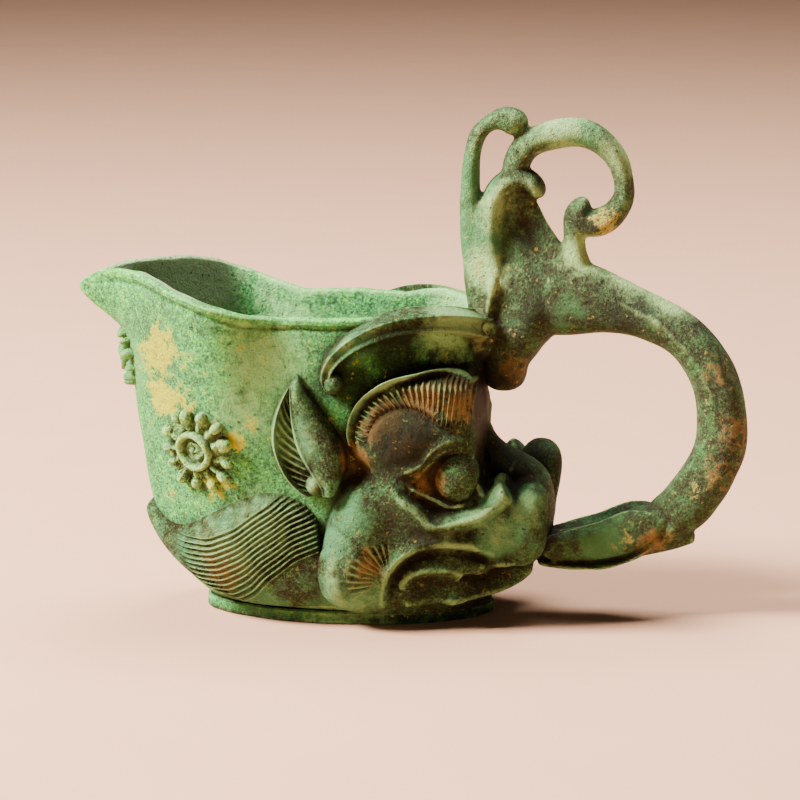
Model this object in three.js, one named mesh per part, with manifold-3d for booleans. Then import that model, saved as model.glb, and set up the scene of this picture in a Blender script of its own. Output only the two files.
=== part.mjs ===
// A cast bronze wine cup: an oval bowl with a pouring beak, a beast-head mask that wraps its front, and a
// loop handle that leaves the beast's mouth as a tongue and meets the rim again under a crest of tendrils.
// Sizes are in millimetres. The beast faces +X, +Z is up and the origin is the centre of the foot's underside.
// The pieces are castings brazed together, so each one keeps a narrow seam to its neighbours.
import * as THREE from "three";
import { ParametricGeometry } from "three/addons/geometries/ParametricGeometry.js";
import { mergeGeometries, mergeVertices } from "three/addons/utils/BufferGeometryUtils.js";
import Module from "manifold-3d";

const wasm = await Module();
wasm.setup();

// Driving dimensions of the foot
const FOOT_LENGTH = 65;
const FOOT_WIDTH = 34;
const FOOT_HEIGHT = 2.8;
const FOOT_ROUND = 0.7; // rounding of the foot's edges
const FOOT_LEDGE = 1.2; // how far the foot stands out from the bowl

// Driving dimensions of the bowl
const BOWL_HEIGHT = 65; // foot to the low part of the rim
const WALL = 2.4;
const FLOOR = 3;
const SWELL_HEIGHT = 9; // height over which the bowl rounds out above the foot
const SWELL_BACK = 11.5; // how far the spout end rounds out
const SWELL_SIDE = 4.2; // how far each flank rounds out
const LEAN_BACK = 7.7; // how far the spout end leans out up to the rim
const LEAN_FRONT = -1.2; // how far the front wall leans in up to the rim
const LEAN_SIDE = 1;
const MOUTH_FULLNESS = 0.4; // share by which the mouth is fuller towards the spout

// Driving dimensions of the rim and the pouring beak
const SPOUT_RISE = 7.8; // how much higher the rim is at the spout
const RIM_LIFT = 1.8; // low swell of the rim beside the handle
const RIM_DIP = 2.2; // drop of the rim at the handle
const LIP_ROUND = 0.5; // crown of the rim between its two edges
const BEAK_REACH = 9.8;
const BEAK_WIDTH = 9;
const BEAK_HEIGHT = 12; // height over which the beak pulls out of the wall
const BEAK_DROOP = 4; // how far the beak's tip turns down

// Driving dimensions of the beast's head
const CHEEK_PROUD = 4.6; // how far the cheeks stand out from the bowl's flanks
const HEAD_HEIGHT = 55.5;
const SNOUT_WIDTH = 27;
const TAPER_START = 15; // how far behind the bowl's front the head begins to narrow
const TAPER_LENGTH = 30;
const JAW_INSET = 1.6; // how far the jaw stays behind the head's flank
const EYE_LENGTH = 11.4;
const EYE_HEIGHT = 12.8;
const EYE_PROUD = 4.2;
const BROW_PROUD = 2.6;
const BROW_RIBS = 13;
const EAR_PROUD = 4.2;
const EAR_RIBS = 10;
const HORN_WIDTH = 6.4;
const HORN_PROUD = 3.6;
const MANE_PROUD = 4.4;
const MANE_STRANDS = 11;
const MANE_CUT = 1.2; // depth of the cuts between the mane's strands
const MANE_INSET = 2.4; // distance of the mane's tip from the spout end
const NOSTRIL_SPREAD = 27; // distance between the middles of the nostrils
const NOSTRIL_WIDTH = 11;
const LEFT_NOSTRIL_LIFT = 4.4; // the left nostril was modelled higher than the right one

// Driving dimensions of the rosettes
const ROSETTE_RADIUS = 9;
const ROSETTE_HEIGHT = 36; // middle of the flank rosettes above the foot of the bowl
const ROSETTE_INSET = 16; // distance of the flank rosettes from the spout end
const FRONT_ROSETTE_HEIGHT = 53;
const FRONT_ROSETTE_RADIUS = 7;
const ROSETTE_PROUD = 2.2;
const ROSETTE_PETALS = 13;
const BOSS_RADIUS = 4;
const BOSS_BORE = 2.1;
const BOSS_PROUD = 2;
const BOSS_SIDES = 14;

// Driving dimensions of the handle and its crest
const HANDLE_REACH = 51; // how far the handle's middle line stands out from the bowl's front
const STEM_DEPTH = 11; // thickness of the stem in the plane of the loop
const STEM_WIDTH = 12;
const TONGUE_WIDTH = 12.5;
const ROOT_WIDTH = 13;
const SCROLL_DEPTH = 6.2;
const SCROLL_WIDTH = 7.5;
const STRAP_DEPTH = 3.8;
const STRAP_WIDTH = 8;
const LOBE_WIDTH = 10;

const SEAM = 0.3; // brazing gap between two castings
const SINK = 1.6; // how deep an ornament's blank reaches into its seat before it is cut back
const BRONZE = { color: 0x6f9268, roughness: 0.72, metalness: 0.35 };
const GILT = { color: 0x8a7a45, roughness: 0.6, metalness: 0.5 };

// Small mathematics

const smooth = (t) => THREE.MathUtils.smoothstep(t, 0, 1);
const dome = (t) => Math.sqrt(Math.max(0, 1 - t * t));
const spline = (points) => new THREE.SplineCurve(points.map(([x, z]) => new THREE.Vector2(x, z)));

// A value that runs smoothly through evenly spaced stations as t goes from 0 to 1.
function through(stations) {
  const curve = spline(stations.map((value, i) => [i, value]));
  return (t) => curve.getPoint(THREE.MathUtils.clamp(t, 0, 1)).y;
}

// The same for a half size, given as shares of a full size.
function shares(full, stations) {
  return through(stations.map((share) => share * full));
}

// Solids

// Welds a geometry into one closed surface that faces outwards.
function weld(geometry) {
  geometry.deleteAttribute("normal");
  geometry.deleteAttribute("uv");
  const welded = mergeVertices(geometry, 1e-4);
  const corners = welded.index.array;
  const faces = [];
  for (let i = 0; i < corners.length; i += 3) {
    const [a, b, c] = corners.slice(i, i + 3);
    if (a !== b && b !== c && c !== a) faces.push(a, b, c);
  }
  welded.setIndex(faces);
  if (signedVolume(welded) < 0) welded.setIndex(faces.reverse());
  return welded;
}

function signedVolume(geometry) {
  const at = (i) => new THREE.Vector3().fromBufferAttribute(geometry.attributes.position, i);
  const faces = geometry.index.array;
  let volume = 0;
  for (let i = 0; i < faces.length; i += 3) {
    volume += at(faces[i]).dot(at(faces[i + 1]).cross(at(faces[i + 2]))) / 6;
  }
  return volume;
}

// A closed skin over rows of points: row(i, u) is a point of row i, and the end rows shrink to a point.
function skin(row, rows, sides) {
  const point = (u, v, target) => target.copy(row(Math.round(v * rows), u));
  return weld(new ParametricGeometry(point, sides, rows));
}

function toSolid(geometry) {
  const vertProperties = new Float32Array(geometry.attributes.position.array);
  const triVerts = new Uint32Array(geometry.index.array);
  return new wasm.Manifold(new wasm.Mesh({ numProp: 3, vertProperties, triVerts }));
}

function toGeometry(solid) {
  const mesh = solid.getMesh();
  const geometry = new THREE.BufferGeometry();
  geometry.setAttribute("position", new THREE.BufferAttribute(mesh.vertProperties, 3));
  return geometry.setIndex(new THREE.BufferAttribute(mesh.triVerts, 1));
}

// A copy of a solid's skin, grown outwards by the seam, to cut its neighbours with.
function grown(geometry) {
  const copy = geometry.clone();
  copy.computeVertexNormals();
  const { position, normal } = copy.attributes;
  for (let i = 0; i < position.count; i += 1) {
    position.setXYZ(
      i,
      position.getX(i) + SEAM * normal.getX(i),
      position.getY(i) + SEAM * normal.getY(i),
      position.getZ(i) + SEAM * normal.getZ(i),
    );
  }
  return toSolid(copy);
}

// Cuts a blank back from the pieces that it seats against and keeps its main body.
function seated(blank, ...neighbours) {
  const cut = neighbours.reduce((solid, other) => solid.subtract(grown(other)), toSolid(blank));
  const bodies = cut.decompose().sort((a, b) => b.volume() - a.volume());
  return toGeometry(bodies[0]);
}

const joined = (a, b) => toGeometry(toSolid(a).add(toSolid(b)));
const mirrored = (geometry) => weld(geometry.clone().scale(1, -1, 1));

// A limb that lies in a plane of constant y: its middle line runs through [x, z] points, its half depth is
// measured in that plane and its half width across it. The ends are rounded over shares of its length.
function limb({ line, depth, width, y = 0, steps, sides, round = [0.08, 0.08] }) {
  const curve = spline(line);
  return skin((i, u) => {
    const t = i / steps;
    const start = 1 - Math.min(1, t / round[0]);
    const end = 1 - Math.min(1, (1 - t) / round[1]);
    const size = dome(start) * dome(end);
    const middle = curve.getPoint(t);
    const tangent = curve.getTangent(t);
    const inPlane = depth(t) * size * Math.cos(2 * Math.PI * u);
    const across = width(t) * size * Math.sin(2 * Math.PI * u);
    return new THREE.Vector3(middle.x - tangent.y * inPlane, y + across, middle.y + tangent.x * inPlane);
  }, steps, sides);
}

// The outline of a pillow-shaped piece: its distance from a middle point in every direction.
function polarOutline(points, middle) {
  const ring = new THREE.SplineCurve([...points, points[0]].map(([x, z]) => new THREE.Vector2(x, z)));
  const marks = ring.getPoints(points.length * 8).map((p) => {
    const x = p.x - middle.x;
    const z = p.y - middle.y;
    return { turn: Math.atan2(z, x), reach: Math.hypot(x, z) };
  });
  marks.sort((a, b) => a.turn - b.turn);
  return (turn) => {
    const after = marks.findIndex((mark) => mark.turn >= turn);
    const b = marks[after < 0 ? 0 : after];
    const a = marks[(after < 0 ? marks.length : after || marks.length) - 1];
    const span = (b.turn - a.turn + 2 * Math.PI) % (2 * Math.PI) || 1;
    const share = ((turn - a.turn + 2 * Math.PI) % (2 * Math.PI)) / span;
    return a.reach + (b.reach - a.reach) * share;
  };
}

const FULL_TURN = 360;

// The direction of a point of the unit square, when the square is stretched into an outline whose four corners
// lie in the given directions, in degrees: lower right, upper right, upper left, lower left.
function cornerTurn(a, b, [lowerRight, upperRight, upperLeft, lowerLeft]) {
  const { lerp, degToRad } = THREE.MathUtils;
  const reach = Math.max(Math.abs(a), Math.abs(b)) || 1;
  const right = a / reach;
  const high = b / reach;
  if (right === 1) return degToRad(lerp(lowerRight, upperRight, (1 + high) / 2));
  if (high === 1) return degToRad(lerp(upperRight, upperLeft, (1 - right) / 2));
  if (right === -1) return degToRad(lerp(upperLeft, lowerLeft, (1 - high) / 2));
  return degToRad(lerp(lowerLeft, lowerRight + FULL_TURN, (1 + right) / 2));
}

// A pillow that is symmetrical about y = 0: an outline in x and z, and a half width over every point of it.
function pillow({ outline, middle, corners, half, cells }) {
  const side = new ParametricGeometry((u, v, target) => {
    const a = 2 * u - 1;
    const b = 2 * v - 1;
    const ring = Math.min(1, Math.max(Math.abs(a), Math.abs(b)));
    const direction = cornerTurn(a, b, corners);
    const turn = Math.atan2(Math.sin(direction), Math.cos(direction));
    const reach = outline(turn) * (1 - (1 - ring) ** 1.4);
    const x = middle.x + reach * Math.cos(turn);
    const z = middle.y + reach * Math.sin(turn);
    target.set(x, ring > 0.999 ? 0 : -half(x, z), z);
  }, cells, cells);
  const other = side.clone().scale(1, -1, 1);
  other.setIndex(Array.from(other.index.array).reverse());
  return weld(mergeGeometries([side, other]));
}

// Relief strokes: how much a point of a flank is raised by a ridge along a line, or by a round mound.
function ridge(points, height, width) {
  const marks = spline(points).getPoints(20);
  return (x, z) => {
    const gap = Math.min(...marks.map((mark) => Math.hypot(mark.x - x, mark.y - z)));
    return height * Math.exp(-((gap / width) ** 2));
  };
}

function mound([x0, z0], height, [length, tall]) {
  return (x, z) => height * Math.exp(-(((x - x0) / length) ** 2) - ((z - z0) / tall) ** 2);
}

// The bowl's wall

const bowlBase = FOOT_HEIGHT + SEAM;
const rimLow = bowlBase + BOWL_HEIGHT;
const beakRoot = rimLow + SPOUT_RISE - BEAK_DROOP - BEAK_HEIGHT;
const climb = (z) => Math.max(0, z - bowlBase) / BOWL_HEIGHT;
const swell = (z) => 1 - Math.exp(-Math.max(0, z - bowlBase) / SWELL_HEIGHT);
const bowlBack = (z) => FOOT_LENGTH / 2 - FOOT_LEDGE + SWELL_BACK * swell(z) + LEAN_BACK * climb(z);
const bowlFront = (z) => FOOT_LENGTH / 2 - FOOT_LEDGE + LEAN_FRONT * climb(z);
const bowlSide = (z) => FOOT_WIDTH / 2 - FOOT_LEDGE + SWELL_SIDE * swell(z) + LEAN_SIDE * climb(z);
const fullness = (along, z) =>
  1 + MOUTH_FULLNESS * climb(z) ** 1.5 * Math.sin(Math.PI * Math.max(0, -along)) ** 2;

// A point of the wall: turn 0 is the front, a quarter turn the right flank and half a turn the spout.
function wallPoint(turn, z, inset = 0) {
  const front = bowlFront(z) - inset;
  const back = bowlBack(z) - inset;
  const along = Math.cos(turn);
  const y = -(bowlSide(z) - inset) * Math.sin(turn) * fullness(along, z);
  const pull = along < 0 ? Math.exp(-((y / (BEAK_WIDTH / 2)) ** 2)) : 0;
  const beak = BEAK_REACH * smooth((z - beakRoot) / BEAK_HEIGHT) * pull;
  return new THREE.Vector3((front - back) / 2 + ((front + back) / 2) * along - beak, y, z);
}

// A point at a height over the wall, along the wall's level normal.
function overWall(turn, z, height) {
  const step = 1e-3;
  const along = wallPoint(turn + step, z).sub(wallPoint(turn - step, z)).normalize();
  return wallPoint(turn, z).add(new THREE.Vector3(-along.y, along.x, 0).multiplyScalar(height));
}

// The turn at which the right flank of the wall has a given x.
function turnAt(x, z) {
  const middle = (bowlFront(z) - bowlBack(z)) / 2;
  const half = (bowlFront(z) + bowlBack(z)) / 2;
  return Math.acos(THREE.MathUtils.clamp((x - middle) / half, -1, 1));
}

const bowlHalf = (x, z) => -wallPoint(turnAt(x, z), z).y;

function rimHeight(turn) {
  const along = Math.cos(turn);
  const spout = SPOUT_RISE * smooth(-along * 1.11);
  const lift = RIM_LIFT * Math.exp(-(((along - 0.78) / 0.15) ** 2));
  const dip = RIM_DIP * smooth((along - 0.88) / 0.12);
  const droop = along < 0 ? BEAK_DROOP * Math.exp(-((Math.sin(turn) / 0.15) ** 2)) : 0;
  return rimLow + spout + lift - dip - droop;
}

const BOWL_SIDES = 36;
const OUTER_ROWS = 7;
const INNER_ROWS = 6;

function outerRow(share, turn) {
  return wallPoint(turn, bowlBase + (rimHeight(turn) - bowlBase) * share ** 1.3);
}

function innerRow(share, turn) {
  const floorTop = bowlBase + FLOOR;
  return wallPoint(turn, floorTop + (rimHeight(turn) - floorTop) * share ** 1.3, WALL);
}

function cupShell() {
  const rim = OUTER_ROWS + 2;
  const last = rim + INNER_ROWS + 2;
  return skin((i, u) => {
    const turn = 2 * Math.PI * u;
    if (i === 0) return new THREE.Vector3(0, 0, bowlBase);
    if (i < rim) return outerRow((i - 1) / OUTER_ROWS, turn);
    if (i === rim) {
      const crown = outerRow(1, turn).add(innerRow(1, turn)).multiplyScalar(0.5);
      return crown.setZ(crown.z + LIP_ROUND);
    }
    if (i === last) return new THREE.Vector3(0, 0, bowlBase + FLOOR);
    return innerRow(1 - (i - rim - 1) / INNER_ROWS, turn);
  }, last, BOWL_SIDES);
}

// The bowl with its mouth filled and its wall carried on past the rim, for cutting what seats on it.
function bowlMass() {
  const rim = OUTER_ROWS + 1;
  return skin((i, u) => {
    const turn = 2 * Math.PI * u;
    if (i === 0) return new THREE.Vector3(0, 0, bowlBase);
    if (i <= rim) return outerRow((i - 1) / OUTER_ROWS, turn);
    if (i === rim + 1) return wallPoint(turn, rimHeight(turn) + SPOUT_RISE);
    return new THREE.Vector3(0, 0, rimLow + SPOUT_RISE);
  }, rim + 2, BOWL_SIDES);
}

function footPlate() {
  const edge = new THREE.Shape();
  edge.absellipse(0, 0, FOOT_LENGTH / 2 - FOOT_ROUND, FOOT_WIDTH / 2 - FOOT_ROUND, 0, 2 * Math.PI);
  const plate = new THREE.ExtrudeGeometry(edge, {
    depth: FOOT_HEIGHT - 2 * FOOT_ROUND,
    bevelThickness: FOOT_ROUND,
    bevelSize: FOOT_ROUND,
    bevelSegments: 1,
    curveSegments: 20,
  });
  return weld(plate.translate(0, 0, FOOT_ROUND));
}

// The beast's head. Its places are measured from the foot of the bowl's front wall.

const faceX = FOOT_LENGTH / 2 - FOOT_LEDGE;
const faceZ = bowlBase;
const onFace = ([x, z]) => [faceX + x, faceZ + z];
const cheekZ = faceZ + 20;
const cheekHalf = bowlSide(cheekZ) + CHEEK_PROUD;
const HEAD_CORNERS = [-17, 60, 118, 235];
const headMiddle = new THREE.Vector2(...onFace([-15.3, 25]));

// How far the profile of forehead, bridge and nose stands before the bowl's front, from the foot up.
const profile = through([0.5, 5.5, 11.1, 13.7, 14.3, 13.5, 9.3, 2.7, 0.3, -0.5, -0.9, -1.7]);
const profileX = (z) => faceX + profile((z - faceZ) / HEAD_HEIGHT);

// The head tapers in plan from the cheeks to the snout, and the mask rounds off towards the profile.
function headTaper(x) {
  return THREE.MathUtils.lerp(cheekHalf, SNOUT_WIDTH / 2, smooth((x - faceX + TAPER_START) / TAPER_LENGTH));
}

function maskHalf(x, z) {
  const start = faceX - TAPER_START;
  const share = THREE.MathUtils.clamp((x - start) / (profileX(z) - start), 0, 1);
  return headTaper(x) * Math.sqrt(1 - share ** 5);
}

const headOutline = polarOutline(
  [
    [-1, 52], [-0.4, 45], [0.4, 40], [2.7, 35.4], [6.3, 32.6], [9.6, 30], [13.1, 26], [14.3, 20.5],
    [13.7, 16], [8.7, 14.2], [1.7, 14.2], [-6.3, 15.8], [-13.3, 14.6], [-17.3, 11.5], [-19.3, 7], [-22.3, 1], [-27.3, -0.6],
    [-32.3, 0], [-36.2, 3.4], [-37.6, 9.6], [-36.4, 17], [-33.8, 24], [-31, 30], [-28.8, 38], [-26.6, 46],
    [-20.3, 52], [-11.3, 55.5], [-4.3, 55.5],
  ].map(onFace),
  headMiddle,
);

const headRelief = [
  mound(onFace([-15.7, 40.3]), 2.6, [7.4, 6.4]), // swelling over the eye
  mound(onFace([-5.4, 31.8]), -3, [7.8, 7.4]), // eye socket
  mound(onFace([-25.7, 32.7]), -2.4, [5.5, 3.4]), // hollow of the temple
  mound(onFace([5.7, 33.9]), -2.2, [5, 4.5]), // dip behind the nose
  mound(onFace([-28, 8.6]), 2.6, [7.6, 7.8]), // ball of the cheek
  mound(onFace([-13, 20]), -1.2, [5, 4]), // hollow of the cheek
  ridge([[-18, 31], [-11.7, 37.8], [-6.8, 40.4], [-2, 40.6]].map(onFace), 1.6, 2.6), // upper lid
  ridge([[-18.5, 28.6], [-11, 21.8], [-5.4, 22.6], [0, 23.8], [3.7, 27.6]].map(onFace), 2.8, 2.6), // cheekbone
  ridge([[-19, 7.5], [-16.2, 14.2], [-11.7, 17.5], [-6.9, 18.2], [1, 17.4], [8, 17]].map(onFace), 2.4, 2.6), // lip
];

function headHalf(x, z) {
  const reach = Math.hypot(x - headMiddle.x, z - headMiddle.y);
  const share = reach / headOutline(Math.atan2(z - headMiddle.y, x - headMiddle.x));
  if (share >= 1) return 0;
  const round = Math.sqrt(1 - share ** 8);
  return (maskHalf(x, z) + headRelief.reduce((sum, stroke) => sum + stroke(x, z), 0)) * round;
}

// The right flank that the face's ornaments seat on: the bowl's wall or the mask, whichever is further out.
const flank = (x, z) => Math.max(bowlHalf(x, z), headHalf(x, z));

const JAW_CORNERS = [-23, 17, 161, 199];
const jawMiddle = new THREE.Vector2(...onFace([-5, 6.5]));
const jawOutline = polarOutline(
  [
    [-23, 0.2], [-12, -0.4], [-2, 0], [4.7, 2.4], [9.7, 6.6], [12.4, 9.8], [11.5, 12.6], [6.7, 13.4],
    [0, 13.5], [-6.5, 15], [-13, 14.2], [-18.6, 11], [-22.6, 5],
  ].map(onFace),
  jawMiddle,
);
const jawRelief = [
  mound(onFace([-12, 9]), 1.6, [5, 3.4]), // fold in the corner of the mouth
  ridge([[-6, 9.8], [2, 7.8], [6.7, 8.4], [9.6, 10]].map(onFace), 1.4, 1.8), // lower lip
];

function jawHalf(x, z) {
  const reach = Math.hypot(x - jawMiddle.x, z - jawMiddle.y);
  const share = reach / jawOutline(Math.atan2(z - jawMiddle.y, x - jawMiddle.x));
  if (share >= 1) return 0;
  const relief = jawRelief.reduce((sum, stroke) => sum + stroke(x, z), 0);
  return (headTaper(x) - JAW_INSET + relief) * Math.sqrt(1 - share ** 6);
}

function eyeBlank() {
  const [x, z] = onFace([-5.6, 31.6]);
  const ball = new THREE.SphereGeometry(1, 16, 10);
  ball.rotateX(Math.PI / 2);
  ball.scale(EYE_LENGTH / 2, EYE_PROUD + SINK, EYE_HEIGHT / 2);
  return weld(ball.translate(x, SINK - headHalf(x, z), z));
}

// An ornament's blank: a front face over a seat and a back face sunk into it. at(a, b, height) is a point with
// a from -1 to 1 across and b from 0 to 1 along; proud(a, b) is how far the front face stands out there.
function ornament({ at, proud, across, along }) {
  const behind = 2;
  const sides = across + behind;
  return skin((i, u) => {
    const b = i / along;
    const side = Math.round(u * sides) % sides;
    if (i === 0 || i === along) return at(0, b, 0);
    if (side === 0 || side === across) return at(side === 0 ? -1 : 1, b, 0);
    if (side < across) return at((2 * side) / across - 1, b, proud((2 * side) / across - 1, b));
    return at(1 - (2 * (side - across)) / behind, b, -SINK);
  }, along, sides);
}

// The brow is a fan of ribs inside a raised bead, spread round the swelling over the eye.
function browBlank() {
  const foot = [
    [-23.9, 37.5], [-23.6, 41], [-22, 44.6], [-19, 46.5], [-15.1, 46.9], [-11.7, 45.5], [-8.5, 43.7], [-5.4, 42.8],
  ];
  const top = [
    [-26.9, 38], [-26.8, 42], [-25, 46.6], [-21.4, 50.4], [-16.4, 52.9], [-10.8, 53.9], [-5.8, 53], [-3, 49.4],
  ];
  const inner = spline(foot.map(onFace));
  const outer = spline(top.map(onFace));
  return ornament({
    across: 5,
    along: 2 * BROW_RIBS,
    at: (a, b, height) => {
      const spread = a * dome(2 * b - 1) ** 0.5;
      const { x, y: z } = inner.getPoint(b).lerp(outer.getPoint(b), (1 + spread) / 2);
      return new THREE.Vector3(x, -flank(x, z) - height, z);
    },
    proud: (a, b) => {
      const bead = Math.exp(-(((a - 0.72) / 0.22) ** 2));
      const rib = 0.5 - 0.5 * Math.cos(2 * Math.PI * BROW_RIBS * b);
      return BROW_PROUD * (bead + (1 - bead) * (0.62 + 0.2 * rib));
    },
  });
}

// The ear is a leaf folded along its length: a ribbed hollow behind the fold and a smooth swelling before it.
function earBlank() {
  const line = spline([[-34.4, 27], [-36.4, 33.5], [-37.8, 41.5], [-38.6, 48], [-39.4, 53.6]].map(onFace));
  const halfWidth = through([1.5, 7.4, 7.8, 4.8, 0.8]);
  const [, earMiddle] = onFace([0, 38]);
  return ornament({
    across: 8,
    along: 2 * EAR_RIBS,
    at: (a, b, height) => {
      const middle = line.getPoint(b);
      const normal = line.getTangent(b);
      const x = middle.x + normal.y * a * halfWidth(b);
      const z = middle.y - normal.x * a * halfWidth(b);
      return overWall(turnAt(x, earMiddle), z, height);
    },
    proud: (a, b) => {
      const fold = Math.exp(-(((a - 0.05) / 0.3) ** 2));
      const rib = 0.5 - 0.5 * Math.cos(2 * Math.PI * EAR_RIBS * b);
      const leaf = a < 0 ? 0.3 + 0.13 * rib * Math.min(1, -4 * a) : 0.35 + 0.65 * dome(a);
      return EAR_PROUD * Math.max(fold, leaf) * dome(2 * b - 1) ** 0.6;
    },
  });
}

// The horn runs back along the bowl from the handle's root, under the rim, and curls up at its end.
function hornBlank() {
  const rise = [
    [2.5, -3.5], [-6, -1], [-13, -0.2], [-20, -1], [-26, -3.4], [-30.2, -7.4], [-32.6, -11], [-32.4, -13.6],
    [-30.2, -13.4],
  ];
  const line = spline(rise.map(([x, z]) => [faceX + x, rimLow + z]));
  const halfWidth = through([0.46, 0.5, 0.5, 0.48, 0.42, 0.34, 0.26, 0.24, 0.22]);
  return ornament({
    across: 6,
    along: 20,
    at: (a, b, height) => {
      const middle = line.getPoint(b);
      const normal = line.getTangent(b);
      const spread = a * halfWidth(b) * HORN_WIDTH * dome(2 * b - 1) ** 0.3;
      const z = middle.y + normal.x * spread;
      return overWall(turnAt(middle.x - normal.y * spread, rimLow - 8), z, height);
    },
    proud: (a) => HORN_PROUD * (0.45 + 0.55 * dome(a)),
  });
}

// The mane is one thick lock that sweeps back from the cheek in a shallow S and ends in a raised tip.
function maneBlank() {
  const [cheekX, maneZ] = onFace([-33, 12]);
  const tipX = MANE_INSET - bowlBack(maneZ);
  const sweep = [[0, 16], [0.18, 17], [0.44, 11], [0.69, 8.4], [0.88, 10.6], [1, 17.6]];
  const line = spline(sweep.map(([share, z]) => [THREE.MathUtils.lerp(cheekX, tipX, share), faceZ + z]));
  const halfWidth = through([10.5, 11.4, 10, 7.6, 5, 1]);
  return ornament({
    across: 2 * MANE_STRANDS,
    along: 10,
    at: (a, b, height) => {
      const middle = line.getPoint(b);
      const normal = line.getTangent(b);
      const spread = a * halfWidth(b) * Math.min(1, (6 * b + 0.2) ** 0.5);
      const z = Math.max(faceZ + 0.4, middle.y - normal.x * spread);
      return overWall(turnAt(middle.x + normal.y * spread, maneZ), z, height);
    },
    proud: (a, b) => {
      const strand = 0.5 * Math.cos(Math.PI * MANE_STRANDS * (a + 1)) - 0.5;
      return (MANE_PROUD * (0.35 + 0.75 * dome(a)) + MANE_CUT * strand) * (1 - 0.35 * b);
    },
  });
}

// Each nostril is a flared wing that stands on the snout, with a small knob behind it.
function nostrilBlank(lift) {
  const y = -NOSTRIL_SPREAD / 2;
  const wing = limb({
    line: [[4, 14.4], [7.2, 17.6], [8.4, 22], [9.6, 26.4], [9.8, 30 + lift]].map(onFace),
    depth: through([3.6, 6.4, 6, 4.6, 3]),
    width: () => NOSTRIL_WIDTH / 2,
    y,
    steps: 10,
    sides: 12,
    round: [0.3, 0.3],
  });
  const knob = limb({
    line: [[-1, 21.8], [2.6, 24.6 + lift / 2], [5, 29 + lift]].map(onFace),
    depth: through([2, 2.6, 2]),
    width: () => NOSTRIL_WIDTH / 3,
    y,
    steps: 8,
    sides: 10,
    round: [0.3, 0.4],
  });
  return joined(wing, knob);
}

// Rosettes: a ring of petals on the wall and a bored boss in its middle.

const rosetteZ = faceZ + ROSETTE_HEIGHT;
const rosetteSpots = {
  right_rosette: { turn: turnAt(ROSETTE_INSET - bowlBack(rosetteZ), rosetteZ), z: rosetteZ, radius: ROSETTE_RADIUS },
  front_rosette: { turn: Math.PI, z: faceZ + FRONT_ROSETTE_HEIGHT, radius: FRONT_ROSETTE_RADIUS },
};

// A point near a rosette's middle, at a distance and a direction round it, over the wall.
function roundSpot({ turn, z }, reach, direction, height) {
  const step = 1e-3;
  const speed = wallPoint(turn + step, z).distanceTo(wallPoint(turn - step, z)) / (2 * step);
  return overWall(turn + (reach * Math.cos(direction)) / speed, z + reach * Math.sin(direction), height);
}

function rosetteBlank(spot) {
  const rings = [0, 0.36, 0.5, 0.72, 0.92, 1];
  const heights = [0.4, 0.4, 0.55, 1, 0.8, 0];
  const last = rings.length;
  return skin((i, u) => {
    const direction = 2 * Math.PI * u;
    if (i === last) return roundSpot(spot, 0, 0, -SINK);
    const petal = 0.5 + 0.5 * Math.cos(ROSETTE_PETALS * direction);
    const reach = spot.radius * rings[i] * (1 - 0.14 * (1 - petal) * smooth(2 * rings[i] - 1));
    const height = ROSETTE_PROUD * heights[i] * (1 - 0.5 * (1 - petal) * smooth(3 * rings[i] - 1.2));
    return roundSpot(spot, reach, direction, height);
  }, last, 2 * ROSETTE_PETALS);
}

function bossBlank(spot) {
  const scale = spot.radius / ROSETTE_RADIUS;
  const [inner, outer] = [BOSS_BORE * scale, BOSS_RADIUS * scale];
  const middle = (inner + outer) / 2;
  const rings = [0, inner * 0.8, inner, middle, outer, outer];
  const heights = [0.3, 0.3, 0.7, 1, 0.6, 0];
  const seat = ROSETTE_PROUD * 0.4 + SEAM;
  const last = rings.length;
  return skin((i, u) => {
    if (i === last) return roundSpot(spot, 0, 0, seat);
    return roundSpot(spot, rings[i], 2 * Math.PI * u, seat + BOSS_PROUD * heights[i]);
  }, last, BOSS_SIDES);
}

// The handle. Its lower end is placed from the mouth, its upper end from the rim.

const onRim = ([x, z]) => [faceX + x, rimLow + z];
const loopReach = faceX + HANDLE_REACH;
const loopHeight = (share) => THREE.MathUtils.lerp(faceZ + 12.4, rimLow + 3.6, share);

function stemBlank() {
  const loop = [
    [-12.8, 0.094], [-7.6, 0.174], [-2.8, 0.297], [-0.1, 0.418], [0, 0.544], [-1.4, 0.664], [-4.6, 0.772],
    [-9.4, 0.859], [-16, 0.918], [-23.3, 0.961],
  ];
  const end = [[19.8, 2.9], [14.7, 3.4]];
  return limb({
    line: [...loop.map(([x, share]) => [loopReach + x, loopHeight(share)]), ...end.map(onRim)],
    depth: shares(STEM_DEPTH, [0.46, 0.53, 0.53, 0.52, 0.5, 0.48, 0.46, 0.44, 0.46, 0.56, 0.75, 0.8]),
    width: () => STEM_WIDTH / 2,
    steps: 22,
    sides: 12,
    round: [0.05, 0.03],
  });
}

// The tongue carries the lower end of the stem, and a short spur runs on beyond it.
function tongueBlank() {
  const leaf = limb({
    line: [
      [faceX + 10, loopHeight(0.005)], [faceX + 16, loopHeight(0)], [faceX + 25, loopHeight(0.01)],
      [faceX + 33, loopHeight(0.06)], [loopReach - 12, loopHeight(0.13)],
    ],
    depth: through([3.6, 3.8, 4.7, 5.6, 5.2]),
    width: shares(TONGUE_WIDTH, [0.4, 0.42, 0.46, 0.5, 0.48]),
    steps: 12,
    sides: 12,
    round: [0.1, 0.22],
  });
  const spur = limb({
    line: [[loopReach - 18, loopHeight(0.02)], [loopReach - 11, loopHeight(0.035)], [loopReach - 5.4, loopHeight(0.075)]],
    depth: through([2.6, 2.6, 2]),
    width: () => TONGUE_WIDTH * 0.3,
    steps: 6,
    sides: 10,
    round: [0.2, 0.1],
  });
  return joined(leaf, spur);
}

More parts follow.
